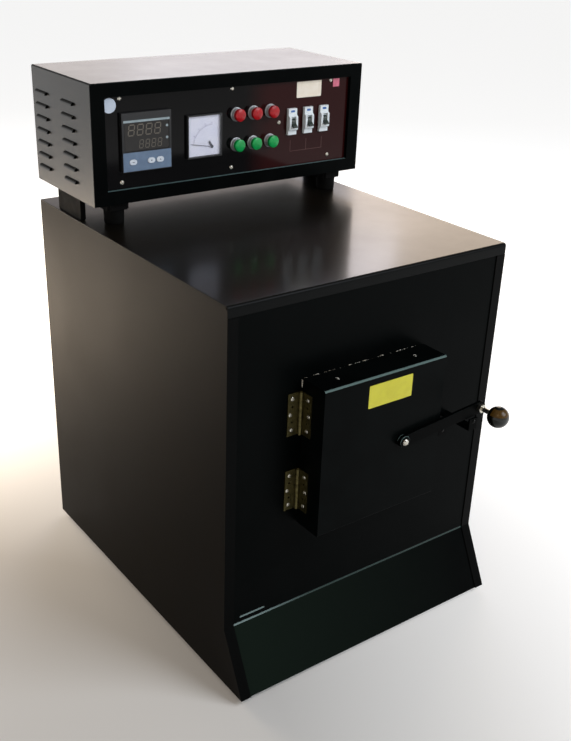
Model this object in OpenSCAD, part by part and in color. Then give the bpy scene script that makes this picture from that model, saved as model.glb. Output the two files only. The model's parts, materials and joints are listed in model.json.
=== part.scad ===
// Box muffle furnace with a hinged front door and a separate control box standing on its top.
// Front of the furnace faces -Y, +X is to the right of someone facing it, +Z is up.
// The origin is on the floor, below the middle of the whole furnace.

/* [Casing] */
// Width of the furnace casing
body_w = 530; // [500:5:600]
// Depth of the furnace casing, front plate to back panel
body_d = 590; // [560:5:680]
// Height of the furnace casing without its feet
body_h = 636; // [600:2:720]
// Thickness of the casing sheet
sheet_t = 1.5; // [1:0.1:2]
// Width of the return flanges round the front plate
flange_w = 18; // [12:1:24]
// Outer radius of the bend along the top panel's front edge
bend_r = 5; // [3:0.5:7]
// Height of the fold where the apron leaves the front plate
toe_h = 104; // [80:2:140]
// How far the apron's toe stands out in front
toe_reach = 51; // [35:1:65]
// Height of the rubber feet
foot_h = 10; // [6:1:20]
// Diameter of the rubber feet
foot_d = 40; // [30:1:50]

/* [Muffle] */
// Width of the heated chamber
chamber_w = 160; // [140:2:176]
// Height of the heated chamber
chamber_h = 150; // [130:2:176]
// Depth of the heated chamber behind the mouth collar
chamber_d = 320; // [260:5:330]
// Wall of the ceramic muffle
muffle_wall = 20; // [17:1:22]
// Depth of the refractory collar round the mouth
collar_d = 40; // [34:1:50]
// Thickness of the insulation boards
board_t = 100; // [80:2:105]
// Gap between the top panel and the boards
top_gap = 30; // [20:1:45]
// Room behind the boards for the terminals
terminal_room = 70; // [60:1:90]
// Gap between the front plate and the boards
board_gap = 22; // [15:1:28]
// Diameter of a heater coil
coil_d = 12.4; // [10:0.2:14]
// Thickness of the hearth plate
hearth_t = 10; // [6:1:12]

/* [Door] */
// Width of the door shell
door_w = 236; // [226:2:250]
// Height of the door shell
door_h = 244; // [236:2:280]
// Depth of the door shell
door_t = 52; // [44:1:60]
// Radius of the folds along the door's front
door_edge_r = 3; // [2:0.5:5]
// Sideways place of the door and chamber from the middle of the casing
door_x = -16; // [-24:1:-8]
// Height of the middle of the door and chamber above the casing's base
door_z = 377; // [360:1:400]
// Gap between the door's rim and the front plate
rim_gap = 1.5; // [1:0.1:2.5]
// Depth of the pocket behind the rim that holds the gasket
pocket_d = 4.5; // [3.5:0.1:6]
// How far the plug reaches into the mouth
plug_d = 25; // [15:1:28]
// Gap round the plug
plug_gap = 4; // [3.5:0.5:8]

/* [Hinges] */
// Height of a hinge
hinge_h = 69; // [62:1:80]
// Width of a leaf from the pin's axis
leaf_w = 21.6; // [18:0.1:24]
// Thickness of a leaf
leaf_t = 2; // [1.6:0.1:2.2]
// Radius of the hinge barrel
barrel_r = 3.4; // [3.2:0.1:4]
// Radius of the hinge pin
pin_r = 1.6; // [1.2:0.1:1.8]
// Distance of a hinge's middle from the door's middle
hinge_off = 64; // [56:1:70]
// Height of the hinges' middle above the door's middle
hinge_rise = 4; // [0:1:8]

/* [Latch] */
// Sideways place of the pivot bolt from the door's middle
pivot_x = 37; // [10:1:45]
// Height of the flat bar
bar_h = 20; // [16:1:24]
// Thickness of the flat bar
bar_t = 5; // [4:0.5:6]
// Distance from the pivot to the knob's stud
bar_l = 162; // [155:1:170]
// Tilt of the bar at rest
bar_tilt = 5; // [4:0.5:8]
// Radius of the pivot's shoulder
pivot_r = 5; // [4:0.5:6]
// Diameter of the ball knob
knob_d = 35; // [28:1:38]
// Distance from the bar's front face to the knob's middle
knob_out = 39; // [34:1:44]
// Distance from the pivot to the middle of the keeper
keeper_off = 145; // [136:1:147]
// Width of the keeper's strip
keeper_w = 18; // [14:1:20]
// Thickness of the keeper's strip
keeper_t = 3; // [2.5:0.5:4]

/* [Control box] */
// Height of the control box without its feet
box_h = 189; // [180:1:220]
// Depth of the control box
box_d = 212; // [190:2:260]
// Thickness of the control box sheet
box_t = 1.2; // [1:0.1:1.5]
// Height of the control box feet
box_foot_h = 37; // [25:1:45]
// Diameter of the control box feet at the top
box_foot_d = 34; // [28:1:40]
// Distance of a front foot's middle from the box's side
box_foot_in = 47; // [40:1:60]
// Thickness of the rubber rails that carry the box at its sides
rail_t = 9; // [6:0.5:20]
// Width of the bezel beside the instrument panel
bezel_side = 24; // [20:1:26]
// Width of the bezel above and below the instrument panel
bezel_edge = 22; // [16:1:24]
// Depth of the recess in front of the instrument panel
recess_d = 6; // [4:0.5:8]
// Number of louvres in a column
louvre_rows = 7; // [3:1:7]
// Length of a louvre
louvre_l = 40; // [36:2:56]
// Height of a louvre
louvre_h = 5.5; // [5:0.5:8]

/* [Instruments] */
// Width of the controller's front frame
ctrl_w = 88; // [86:1:92]
// Height of the controller's front frame
ctrl_h = 92; // [90:1:98]
// Width of the meter's front frame
meter_w = 66; // [60:1:68]
// Height of the meter's front frame
meter_h = 70; // [64:1:74]
// Diameter of an indicator lamp's sleeve
lamp_d = 21; // [18:0.5:22]
// How far an indicator lamp stands out of the panel
lamp_out = 16; // [12:1:20]
// Distance between lamps, and between breakers
pitch = 34.5; // [32:0.5:36]
// Width of a breaker
breaker_w = 18; // [17:0.5:19]
// Height of a breaker's nose
breaker_h = 45; // [42:1:48]

/* [Hidden] */
$fn = 48;
// Gap between fixed pieces that slide together on assembly
fit = 0.3;
// Radial gap of a pin or shaft that turns in its bore
run = 0.06;
// Gap between faces that move past each other
sweep = 0.3;

// Fold of the apron: its angle, and how an offset sheet moves the fold
toe_a = atan(toe_reach / toe_h);
fold_k = tan(toe_a / 2);
inner_x = body_w / 2 - sheet_t - fit;
lap_w = 15;

muffle_w = chamber_w + 2 * muffle_wall;
muffle_h = chamber_h + 2 * muffle_wall;
muffle_y1 = collar_d + chamber_d + muffle_wall;
boards_y1 = body_d - sheet_t - terminal_room;
boards_z1 = body_h - sheet_t - top_gap - door_z;
boards_w = muffle_w + 2 * board_t;
floor_z = door_z - muffle_h / 2 - board_t;
groove_r = coil_d / 2 + fit;
groove_pitch = chamber_h * 0.24;
coil_x = chamber_w / 2 + groove_r * 0.85;
coil_y0 = collar_d + 6;
coil_y1 = collar_d + chamber_d - 10;
lead_r = 2.5;
lead_y1 = boards_y1 + 18;
strip_t = 12;
probe_r = 4;
probe_z = chamber_h * 0.3;
frame_leg = 25;
frame_t = 3;

door_front = rim_gap + door_t;
liner_y = rim_gap + pocket_d;
liner_flange = 28;
gasket_w = 12;
gasket_in = door_w / 2 - sheet_t - 2 - gasket_w;
gasket_in_z = door_h / 2 - sheet_t - 2 - gasket_w;
door_screw_x = door_w * 0.32;
door_screw_y = door_t / 2 + rim_gap;

axis_x = door_x - door_w / 2 - barrel_r - sweep;
axis_y = -barrel_r - sweep;
knuckles = 5;
knuckle_h = hinge_h / knuckles;
screw_far = hinge_h * 0.365;
screw_out = leaf_w - 5;
screw_in = leaf_w - 8;
small_screw_r = 1.8;
small_head_r = 3.4;
small_head_h = 1.2;

spacer_t = 4;
bar_y = door_front + spacer_t;
bar_front = bar_y + bar_t;
bolt_head_r = 5.5;
bolt_head_h = 4.5;
washer_t = 1.2;
stud_r = 4;
nut_h = 6;
knob_y = bar_front + knob_out;
knob_flat = knob_d / 2 - 2;
lip_gap = 1.5;
lip_y = bar_front + lip_gap + keeper_t;
bar_drop = bar_h / 2 / cos(bar_tilt);
lip_z = (keeper_off - keeper_w / 2) * tan(bar_tilt) - bar_drop - 1.2;
slot_depth = bar_h * 0.85;
keeper_foot = 42;
keeper_x = door_x + pivot_x + keeper_off;
lip_screw_z = lip_z - 5;

cover_d = 35;
cover_w = 220;
cover_h = 200;
cover_z = door_z;
hatch_margin = 20;
gland_r = 8;
gland_bore = 5;
gland_out = 20;
gland_in = 12;
gland_spots = [[150, 80, 0], [-140, 45, 1], [140, 45, 1]];

panel_lap = 8;
panel_t = 2;
panel_w = body_w - 2 * bezel_side + 2 * panel_lap;
panel_h = box_h - 2 * bezel_edge + 2 * panel_lap;
panel_y = recess_d;
box_in = body_w / 2 - box_t - fit;
screw_col = body_w * 0.39;
screw_off = -6;
screw_row = [32.5, box_h - 26];
instrument_z = box_h / 2 + 4.5;
ctrl_z = instrument_z - 4;
meter_z = instrument_z - 7;
lamp_z = instrument_z - 3;

// The width that the instruments leave free is shared out between them
opening_w = body_w - 2 * bezel_side;
lamps_w = 2 * pitch + lamp_d;
breakers_w = 2 * pitch + breaker_w;
spare_w = opening_w - ctrl_w - meter_w - lamps_w - breakers_w;
ctrl_x = -opening_w / 2 + spare_w * 0.18 + ctrl_w / 2;
meter_x = ctrl_x + ctrl_w / 2 + spare_w * 0.207 + meter_w / 2;
lamp_x = meter_x + meter_w / 2 + spare_w * 0.137 + lamps_w / 2;
breaker_x = lamp_x + lamps_w / 2 + spare_w * 0.17 + breakers_w / 2;
mid_screw_x = breaker_x - breakers_w / 2 - spare_w * 0.109;
panel_screw_spots = concat(
    [for (x = [-screw_col, 0, screw_col], z = screw_row) [x + screw_off, z]],
    [[mid_screw_x, instrument_z]]);
ctrl_body = 80;
ctrl_deep = 70;
ctrl_out = 7;
ctrl_strip = 15;
keypad_h = 31;
key_spots = [-26, 6.5, 22.5];
key_w = 13;
key_h = 8.5;
key_travel = 1;
meter_out = 6;
meter_deep = 32;
needle_pivot = [15.5, -19];
needle_l = 39;
needle_rest = 10;
lever_l = 11;
lever_turn = 48;
lamp_rows = 25;
lamp_shank_r = 8;
lamp_deep = 34;
sleeve_out = 8;
sleeve_wall = 1.5;
nose_out = 9;
breaker_deep = 50;
toggle_r = 5;
toggle_w = 9;
toggle_rest = 40;
post_w = 20;

// The whole furnace reaches from the knob's front to the back of the terminal cover
reach_front = knob_y + knob_d / 2;
reach_back = body_d + cover_d;
place_y = (reach_front - reach_back) / 2;

// Frames that the pieces are drawn in

module at_casing() {
    translate([0, place_y, foot_h]) children();
}

module at_chamber() {
    at_casing() translate([door_x, 0, door_z]) children();
}

module at_box() {
    at_casing() translate([0, body_d - box_d, body_h + box_foot_h]) children();
}

module at_pivot() {
    at_chamber() translate([pivot_x, 0, 0]) rotate([0, -bar_tilt, 0]) children();
}

// Shapes that repeat

// A block given by its low and high corners
module block(low, high) {
    translate(low) cube(high - low);
}

// A round bar along +Y from y0 to y1
module bar_y(r, y0, y1) {
    translate([0, y0, 0]) rotate([-90, 0, 0]) cylinder(r = r, h = y1 - y0);
}

// Extrudes a Y-Z outline along X from x0 to x1
module along_x(x0, x1) {
    translate([x0, 0, 0]) rotate([90, 0, 90]) linear_extrude(x1 - x0) children();
}

// Extrudes an X-Z outline along Y from y0 to y1
module along_y(y0, y1) {
    translate([0, y1, 0]) rotate([90, 0, 0]) linear_extrude(y1 - y0) children();
}

// Places children at the four corners of a rectangle
module corners(dx, dy) {
    for (x = [-dx, dx], y = [-dy, dy]) translate([x, y, 0]) children();
}

// A cross-head screw that points along +Z, with its domed head below z = 0
module screw(head_r, head_h, shank_r, shank_l) {
    dome_r = (head_r * head_r + head_h * head_h) / (2 * head_h);
    slot_w = head_r * 0.3;
    difference() {
        intersection() {
            translate([0, 0, dome_r - head_h]) sphere(r = dome_r);
            translate([0, 0, -head_h]) cylinder(r = head_r, h = head_h);
        }
        for (a = [0, 90]) rotate([0, 0, a])
            block([-head_r * 0.6, -slot_w / 2, -head_h - 1], [head_r * 0.6, slot_w / 2, -head_h * 0.45]);
    }
    cylinder(r = shank_r, h = shank_l);
}

module small_screw(shank_l = 5) {
    screw(small_head_r, small_head_h, small_screw_r, shank_l);
}

// Turns a screw that points along +Z so that it points along +Y, +X, -X, -Z or -Y
module to_back() {
    rotate([-90, 0, 0]) children();
}

module to_front() {
    rotate([90, 0, 0]) children();
}

module to_right() {
    rotate([0, 90, 0]) children();
}

module to_left() {
    rotate([0, -90, 0]) children();
}

// Outline of a bar with round ends
module slot_2d(w, h) {
    square([w - h, h], center = true);
    for (x = [-1, 1]) translate([x * (w - h) / 2, 0]) circle(d = h);
}

// Casing

// The front edge of the casing in the Y-Z plane, moved back by o
function front_path(o, top) = [[o, top], [o, toe_h - o * fold_k], [o / cos(toe_a) - toe_reach, 0]];

// A sheet that follows the front edge, between two offsets
module front_sheet(o0, o1, top) {
    polygon([for (p = front_path(o0, top)) p, for (i = [2:-1:0]) front_path(o1, top)[i]]);
}

casing_screw_z = [for (i = [0:3]) 60 + i * (body_h - 120) / 3];
foot_spots = [for (x = [-1, 1], y = [0, 1]) [x * (body_w / 2 - 55), 15 + y * (body_d - 75)]];

module side_panel() {
    flange_top = body_h - flange_w - fit;
    edge = [[body_d, 0], [body_d, body_h - sheet_t], [bend_r, body_h - sheet_t],
        [0, body_h - bend_r - sheet_t], [0, flange_top]];
    difference() {
        union() {
            along_x(0, sheet_t) polygon(concat(edge, front_path(-sheet_t, flange_top)));
            along_x(0, flange_w) front_sheet(-sheet_t, 0, flange_top);
            block([0, body_d - 2 * sheet_t, sheet_t], [lap_w, body_d - sheet_t, body_h - sheet_t]);
            block([0, bend_r, body_h - 2 * sheet_t], [lap_w, body_d - sheet_t, body_h - sheet_t]);
            block([0, sheet_t + fit, sheet_t], [lap_w, body_d - sheet_t, 2 * sheet_t]);
        }
        for (z = casing_screw_z) translate([lap_w / 2, body_d - 3, z]) bar_y(small_screw_r + fit, -5, 10);
    }
}

module left_side_panel() {
    color("#2b2823") at_casing() translate([-body_w / 2, 0, 0]) side_panel();
}

module right_side_panel() {
    color("#2b2823") at_casing() mirror([1, 0, 0]) translate([-body_w / 2, 0, 0]) side_panel();
}

module top_panel() {
    color("#35312b") at_casing() along_x(-body_w / 2, body_w / 2) {
        translate([bend_r - sheet_t, body_h - sheet_t]) square([body_d - bend_r + sheet_t, sheet_t]);
        translate([-sheet_t, body_h - flange_w]) square([sheet_t, flange_w - bend_r]);
        translate([bend_r - sheet_t, body_h - bend_r]) intersection() {
            difference() {
                circle(r = bend_r);
                circle(r = bend_r - sheet_t);
            }
            translate([-bend_r, 0]) square(bend_r);
        }
    }
}

// Screw points on the front plate: the fixed hinge leaves, then the keeper's foot
function leaf_points(inward) = [for (side = [-1, 1], s = [-1, 0, 1])
    [s == 0 ? screw_out : screw_in, hinge_rise + side * hinge_off + s * screw_far]];
hinge_screws_xz = [for (p = leaf_points(0)) [axis_x - p[0], door_z + p[1]]];
keeper_screws_xz = [for (s = [0, 1])
    [keeper_x, door_z + lip_z - slot_depth - 14 - s * (keeper_foot - 22)]];
front_screw_points = concat(hinge_screws_xz, keeper_screws_xz);

module front_plate() {
    color("#101414") at_casing() difference() {
        along_x(-inner_x, inner_x) front_sheet(0, sheet_t, body_h - bend_r);
        translate([door_x, 0, door_z]) cube([muffle_w + 2 * fit, 20, muffle_h + 2 * fit], center = true);
        for (p = front_screw_points) translate([p[0], 0, p[1]]) bar_y(small_screw_r + fit, -5, 5);
    }
}

vent_rows = 6;

module back_panel() {
    color("#26241f") at_casing() difference() {
        block([-inner_x, body_d - sheet_t, 0], [inner_x, body_d, body_h - sheet_t]);
        translate([door_x, body_d, cover_z])
            cube([cover_w - 2 * hatch_margin, 10, cover_h - 2 * hatch_margin], center = true);
        for (i = [0:vent_rows - 1]) translate([0, body_d - 5, body_h - 50 - i * 14])
            along_y(0, 10) slot_2d(160, 5);
        for (g = gland_spots) if (g[2] == 0)
            translate([g[0], body_d, g[1]]) bar_y(gland_r + fit, -10, 10);
        for (x = [-1, 1], z = casing_screw_z)
            translate([x * (body_w / 2 - lap_w / 2), body_d, z]) bar_y(small_screw_r + fit, -5, 5);
        for (x = [-1, 1], z = [-1, 1])
            translate([door_x + x * (cover_w / 2 + 8), body_d, cover_z + z * cover_h * 0.35])
                bar_y(small_screw_r + fit, -5, 5);
    }
}

module base_pan() {
    front = -toe_reach + sheet_t / cos(toe_a) + sheet_t * tan(toe_a) + fit;
    color("#26241f") at_casing() block([-inner_x, front, 0], [inner_x, body_d - sheet_t - fit, sheet_t]);
}

module base_feet() {
    color("#161616") for (p = foot_spots) at_casing() translate([p[0], p[1], -foot_h])
        rotate_extrude() polygon([
            [7, foot_h], [foot_d / 2, foot_h], [foot_d / 2 - 2, 1], [foot_d / 2 - 3, 0],
            [9, 0], [9, foot_h / 2], [7, foot_h / 2]]);
}

module casing_screws() {
    color("#b9b4a6") at_casing() {
        for (x = [-1, 1], z = casing_screw_z)
            translate([x * (body_w / 2 - lap_w / 2), body_d, z]) to_front() small_screw(6);
        for (x = [-1, 1], z = [-1, 1])
            translate([door_x + x * (cover_w / 2 + 8), body_d + box_t, cover_z + z * cover_h * 0.35])
                to_front() small_screw(6);
    }
}

// Rear terminal cover: a folded box with side flanges and rows of slots
module terminal_cover() {
    color("#26241f") at_casing() translate([door_x, body_d, cover_z]) difference() {
        union() {
            block([-cover_w / 2, 0, -cover_h / 2], [cover_w / 2, cover_d, cover_h / 2]);
            block([-cover_w / 2 - 16, 0, -cover_h / 2], [cover_w / 2 + 16, box_t, cover_h / 2]);
        }
        block([-cover_w / 2 + box_t, -1, -cover_h / 2 + box_t],
            [cover_w / 2 - box_t, cover_d - box_t, cover_h / 2 - box_t]);
        for (x = [-1, 1], z = [-1, 1]) translate([x * (cover_w / 2 + 8), 0, z * cover_h * 0.35])
            bar_y(small_screw_r + fit, -5, 5);
        for (i = [-4:4]) translate([i * 20, cover_d - 5, 0]) along_y(0, 10) rotate(90) slot_2d(120, 6);
    }
}

// A cable gland: a hex flange outside, a dome nut with the bore, and a thread through the sheet
module gland(sheet) {
    difference() {
        union() {
            bar_y(gland_r, -gland_in, 1);
            translate([0, 0, 0]) rotate([-90, 0, 0]) cylinder(r = gland_r + 4, h = 5, $fn = 6);
            bar_y(gland_r + 1.5, 4, gland_out - 3);
            translate([0, gland_out - 3, 0]) rotate([-90, 0, 0])
                cylinder(r1 = gland_r + 1.5, r2 = gland_bore + 1.5, h = 3);
            translate([0, -sheet - 4, 0]) rotate([-90, 0, 0]) cylinder(r = gland_r + 4, h = 4, $fn = 6);
        }
        bar_y(gland_bore, -gland_in - 1, gland_out + 1);
    }
}

module cable_glands() {
    color("#1a1a1a") for (g = gland_spots) {
        if (g[2] == 0) at_casing() translate([g[0], body_d, g[1]]) gland(sheet_t);
        else at_box() translate([g[0], box_d, g[1]]) gland(box_t);
    }
}

// Hot box inside the casing

// Angle iron with its corner on the origin, its arms along +X and +Y, rising along +Z
module angle_iron(l) {
    linear_extrude(l) difference() {
        square(frame_leg);
        translate([frame_t, frame_t]) square(frame_leg);
    }
}

module support_frame() {
    rail_z = floor_z - frame_leg;
    mid_y = (board_gap + boards_y1) / 2;
    half_y = (boards_y1 - board_gap) / 2;
    color("#4a4540") at_casing() translate([door_x, mid_y, 0]) {
        for (x = [0, 1], y = [0, 1]) mirror([x, 0, 0]) mirror([0, y, 0])
            translate([-boards_w / 2, -half_y, sheet_t]) angle_iron(floor_z - sheet_t);
        for (y = [0, 1]) mirror([0, y, 0]) {
            block([-boards_w / 2, -half_y, rail_z], [boards_w / 2, -half_y + frame_t, floor_z]);
            block([-boards_w / 2, -half_y, floor_z - frame_t],
                [boards_w / 2, -half_y + frame_leg, floor_z]);
        }
        for (x = [0, 1]) mirror([x, 0, 0]) {
            block([-boards_w / 2, -half_y, rail_z], [-boards_w / 2 + frame_t, half_y, floor_z]);
            block([-boards_w / 2, -half_y, floor_z - frame_t],
                [-boards_w / 2 + frame_leg, half_y, floor_z]);
        }
    }
}

// Places children at each coil: left and right walls, four rows
module at_coils() {
    for (x = [-1, 1], i = [-1.5:1.5]) translate([x * coil_x, 0, i * groove_pitch]) children();
}

// Five boards round the muffle, laid up with thin joints
module insulation_boards() {
    hw = boards_w / 2;
    hh = muffle_h / 2;
    color("#e8e4da") at_chamber() {
        block([-hw, board_gap, -hh - board_t], [hw, boards_y1, -hh]);
        block([-hw, board_gap, hh], [hw, boards_y1, boards_z1]);
        for (x = [0, 1]) mirror([x, 0, 0])
            block([-hw, board_gap, -hh + fit], [-muffle_w / 2, boards_y1, hh - fit]);
        difference() {
            block([-muffle_w / 2 + fit, muffle_y1, -hh + fit], [muffle_w / 2 - fit, boards_y1, hh - fit]);
            at_coils() bar_y(lead_r + fit, 0, boards_y1 + 1);
            translate([0, 0, probe_z]) bar_y(probe_r + fit, 0, boards_y1 + 1);
        }
    }
}

module mouth_collar() {
    color("#e2d9c6") at_chamber() difference() {
        block([-muffle_w / 2, 0, -muffle_h / 2], [muffle_w / 2, collar_d, muffle_h / 2]);
        block([-chamber_w / 2, -1, -chamber_h / 2], [chamber_w / 2, collar_d + 1, chamber_h / 2]);
    }
}

module muffle() {
    color("#d8cbb2") at_chamber() difference() {
        block([-muffle_w / 2, collar_d, -muffle_h / 2], [muffle_w / 2, muffle_y1, muffle_h / 2]);
        block([-chamber_w / 2, collar_d - 1, -chamber_h / 2],
            [chamber_w / 2, collar_d + chamber_d, chamber_h / 2]);
        at_coils() bar_y(groove_r, collar_d - 1, coil_y1 + fit);
        at_coils() bar_y(lead_r + fit, 0, muffle_y1 + 1);
        translate([0, 0, probe_z]) bar_y(probe_r + fit, 0, muffle_y1 + 1);
    }
}

module hearth_plate() {
    color("#b9ab93") at_chamber()
        block([-chamber_w / 2 + fit, collar_d + 2, -chamber_h / 2],
            [chamber_w / 2 - fit, collar_d + chamber_d - 5, -chamber_h / 2 + hearth_t]);
}

module heater_coils() {
    color("#6f625a") at_chamber() {
        at_coils() bar_y(coil_d / 2, coil_y0, coil_y1);
        at_coils() bar_y(lead_r, coil_y1 - 1, lead_y1);
        for (x = [-1, 1], i = [-1, 1]) translate([x * coil_x, lead_y1 - 3, i * groove_pitch])
            cube([2 * lead_r, 6, groove_pitch + 2 * lead_r], center = true);
    }
}

module thermocouple() {
    color("#c9c2b4") at_chamber() translate([0, 0, probe_z]) {
        bar_y(probe_r, muffle_y1 - muffle_wall - 20, boards_y1 + 1);
        bar_y(12, boards_y1, boards_y1 + 5);
        bar_y(9, boards_y1 + 4, boards_y1 + 30);
    }
}

module terminal_strips() {
    half = 1.5 * groove_pitch + 12;
    color("#efe9dc") at_chamber() for (x = [-1, 1]) difference() {
        translate([x * coil_x, 0, 0]) block([-11, boards_y1, -half], [11, boards_y1 + strip_t, half]);
        at_coils() bar_y(lead_r + fit, 0, boards_y1 + strip_t + 1);
    }
}

// Hinges

// Cuts or keeps every second knuckle, counted from the bottom
module knuckle_rows(first, grow) {
    for (i = [first:2:knuckles - 1]) translate([0, 0, i * knuckle_h - hinge_h / 2 - grow])
        children();
}

// A leaf that lies on the plane y = 0 towards -X, its knuckles round the pin's axis at [0, -r]
module hinge_leaf(first) {
    lift = barrel_r + sweep;
    gap = sweep / 2;
    difference() {
        union() {
            block([-leaf_w, -leaf_t, -hinge_h / 2], [0, 0, hinge_h / 2]);
            translate([0, -lift, 0]) knuckle_rows(first, 0)
                translate([0, 0, gap]) cylinder(r = barrel_r, h = knuckle_h - 2 * gap);
        }
        translate([0, -lift, 0]) {
            knuckle_rows(1 - first, gap) cylinder(r = barrel_r + sweep + 0.2, h = knuckle_h + 2 * gap);
            translate([0, 0, -hinge_h]) cylinder(r = pin_r + run, h = 2 * hinge_h);
        }
        for (s = [-1, 0, 1]) translate([-(s == 0 ? screw_out : screw_in), 0, s * screw_far])
            bar_y(small_screw_r + fit, -5, 5);
        for (s = [-1, 1]) translate([-screw_in, 0, s * screw_far / 2]) bar_y(small_screw_r, -5, 5);
    }
}

// The fixed leaf's face is on the front plate
module hinge_fixed_leaves() {
    color("#8d8460") at_chamber() for (side = [-1, 1])
        translate([axis_x - door_x, 0, hinge_rise + side * hinge_off]) hinge_leaf(0);
}

// The door's leaf is the same, mirrored and turned on to the door's left side
module hinge_door_leaves() {
    color("#8d8460") at_chamber() for (side = [-1, 1])
        translate([-door_w / 2, axis_y, hinge_rise + side * hinge_off])
            rotate([0, 0, 90]) mirror([0, 1, 0]) mirror([0, 0, 0]) hinge_leaf(1);
}

module hinge_pins() {
    head_r = barrel_r * 0.8;
    color("#a39a78") at_chamber() for (side = [-1, 1])
        translate([axis_x - door_x, axis_y, hinge_rise + side * hinge_off]) {
            translate([0, 0, -hinge_h / 2]) cylinder(r = pin_r, h = hinge_h);
            translate([0, 0, hinge_h / 2]) cylinder(r = head_r, h = 1.4);
            translate([0, 0, -hinge_h / 2 - 1.4]) cylinder(r = head_r, h = 1.4);
        }
}

module front_screws() {
    color("#cfcabb") at_casing() {
        for (p = hinge_screws_xz) translate([p[0], -leaf_t, p[1]]) to_back() small_screw(6);
        for (p = keeper_screws_xz) translate([p[0], -keeper_t, p[1]]) to_back() small_screw(7);
        translate([keeper_x, -lip_y, door_z + lip_screw_z]) to_back() small_screw(keeper_t);
    }
}

// Latch

// The keeper is a folded strip: foot on the front plate, arm, and a lip in front of the bar
module latch_keeper() {
    arm_z = lip_z - slot_depth;
    x0 = keeper_x - keeper_w / 2;
    color("#1d1f1f") at_casing() difference() {
        translate([0, 0, door_z]) along_x(x0, x0 + keeper_w) {
            translate([-keeper_t, arm_z - keeper_foot]) square([keeper_t, keeper_foot]);
            translate([-lip_y, arm_z - keeper_t]) square([lip_y, keeper_t]);
            translate([-lip_y, arm_z - keeper_t]) square([keeper_t, slot_depth + keeper_t]);
        }
        for (p = keeper_screws_xz) translate([p[0], 0, p[1]]) bar_y(small_screw_r + fit, -20, 5);
        translate([keeper_x, 0, door_z + lip_screw_z]) bar_y(small_screw_r + fit, -lip_y - 5, -20);
    }
}

// The spacer behind the bar and the washer in front of it
module latch_washers() {
    color("#101212") at_chamber() translate([pivot_x, 0, 0]) difference() {
        union() {
            bar_y(10, -bar_y + sweep / 2, -door_front);
            bar_y(9.5, -bar_front - sweep / 2 - washer_t, -bar_front - sweep / 2);
        }
        bar_y(pivot_r + run, -bar_front - 5, 0);
    }
}

module latch_bolt() {
    head_y = bar_front + sweep / 2 + washer_t;
    color("#b5b2aa") at_chamber() translate([pivot_x, 0, 0]) {
        bar_y(pivot_r, -head_y, -door_front + 8);
        translate([0, -head_y, 0]) to_front() intersection() {
            translate([0, 0, -2]) sphere(r = bolt_head_h + 2);
            cylinder(r = bolt_head_r, h = bolt_head_h);
        }
    }
}

module latch_bar() {
    color("#1b1d1d") at_pivot() difference() {
        along_y(-bar_front, -bar_y) translate([(bar_l + 2) / 2, 0]) slot_2d(bar_l + 2 + bar_h, bar_h);
        bar_y(pivot_r + run, -bar_front - 5, 0);
        translate([bar_l, 0, 0]) bar_y(stud_r + fit, -bar_front - 5, 0);
    }
}

module latch_stud() {
    color("#c4c2bb") at_pivot() translate([bar_l, 0, 0]) {
        bar_y(stud_r, -knob_y, -bar_y + 3);
        translate([0, -bar_front, 0]) to_front() cylinder(r = 7.5, h = nut_h, $fn = 6);
        bar_y(7, -bar_y, -bar_y + 3);
    }
}

// The knob's profile runs from the flat behind it round to its front
module latch_knob() {
    r = knob_d / 2;
    flat_a = asin(knob_flat / r);
    steps = 24;
    color("#15110c") at_pivot() translate([bar_l, -knob_y, 0]) to_front() difference() {
        rotate_extrude() polygon(concat([[0, -knob_flat]],
            [for (i = [0:steps]) let (a = -flat_a + i * (90 + flat_a) / steps)
                [i == steps ? 0 : r * cos(a), r * sin(a)]]));
        translate([0, 0, -r]) cylinder(r = stud_r + fit, h = r + fit);
    }
}

// Door

// The door's folded section in the Y-Z plane, moved inwards by inset
module door_section(inset, back) {
    r = door_edge_r - inset;
    y0 = -door_front + inset;
    h = door_h / 2 - inset;
    translate([y0 + r, -h]) square([back - y0 - r, 2 * h]);
    translate([y0, -h + r]) square([r, 2 * (h - r)]);
    for (z = [-1, 1]) translate([y0 + r, z * (h - r)]) circle(r = r);
}

module door_shell() {
    hw = door_w / 2;
    color("#0e1212") at_chamber() difference() {
        along_x(-hw, hw) door_section(0, -rim_gap);
        along_x(-hw + sheet_t, hw - sheet_t) door_section(sheet_t, 1);
        translate([pivot_x, 0, 0]) bar_y(pivot_r + fit, -door_front - 5, 0);
        door_screw_holes();
    }
}

// Places children at the door's rim screws: top, bottom and right side
module at_door_screws() {
    for (x = [-1, 1]) {
        translate([x * door_screw_x, -door_screw_y, door_h / 2]) rotate([180, 0, 0]) children();
        translate([x * door_screw_x, -door_screw_y, -door_h / 2]) children();
        translate([door_w / 2, -door_screw_y, x * door_h * 0.32]) to_left() children();
    }
}

// Places children at the screws of the door's hinge leaves
module at_leaf_screws() {
    for (p = leaf_points(0)) translate([-door_w / 2, axis_y - p[0], p[1]]) to_right() children();
}

module door_screw_holes() {
    at_door_screws() cylinder(r = small_screw_r + fit, h = 6);
    at_leaf_screws() cylinder(r = small_screw_r + fit, h = 6);
}

module door_liner() {
    hw = door_w / 2 - sheet_t - fit;
    hh = door_h / 2 - sheet_t - fit;
    color("#8f8d86") at_chamber() difference() {
        block([-hw, -liner_y - liner_flange, -hh], [hw, -liner_y, hh]);
        block([-hw + sheet_t, -liner_y - liner_flange - 1, -hh + sheet_t],
            [hw - sheet_t, -liner_y - sheet_t, hh - sheet_t]);
        door_screw_holes();
    }
}

module door_insulation() {
    gap = 2 * sheet_t + fit + 4;
    color("#e8e4da") at_chamber() difference() {
        block([-door_w / 2 + gap, -door_front + sheet_t, -door_h / 2 + gap],
            [door_w / 2 - gap, -liner_y - sheet_t, door_h / 2 - gap]);
        translate([pivot_x, 0, 0]) bar_y(pivot_r + fit, -door_front, -door_front + 8 + fit);
    }
}

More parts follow.
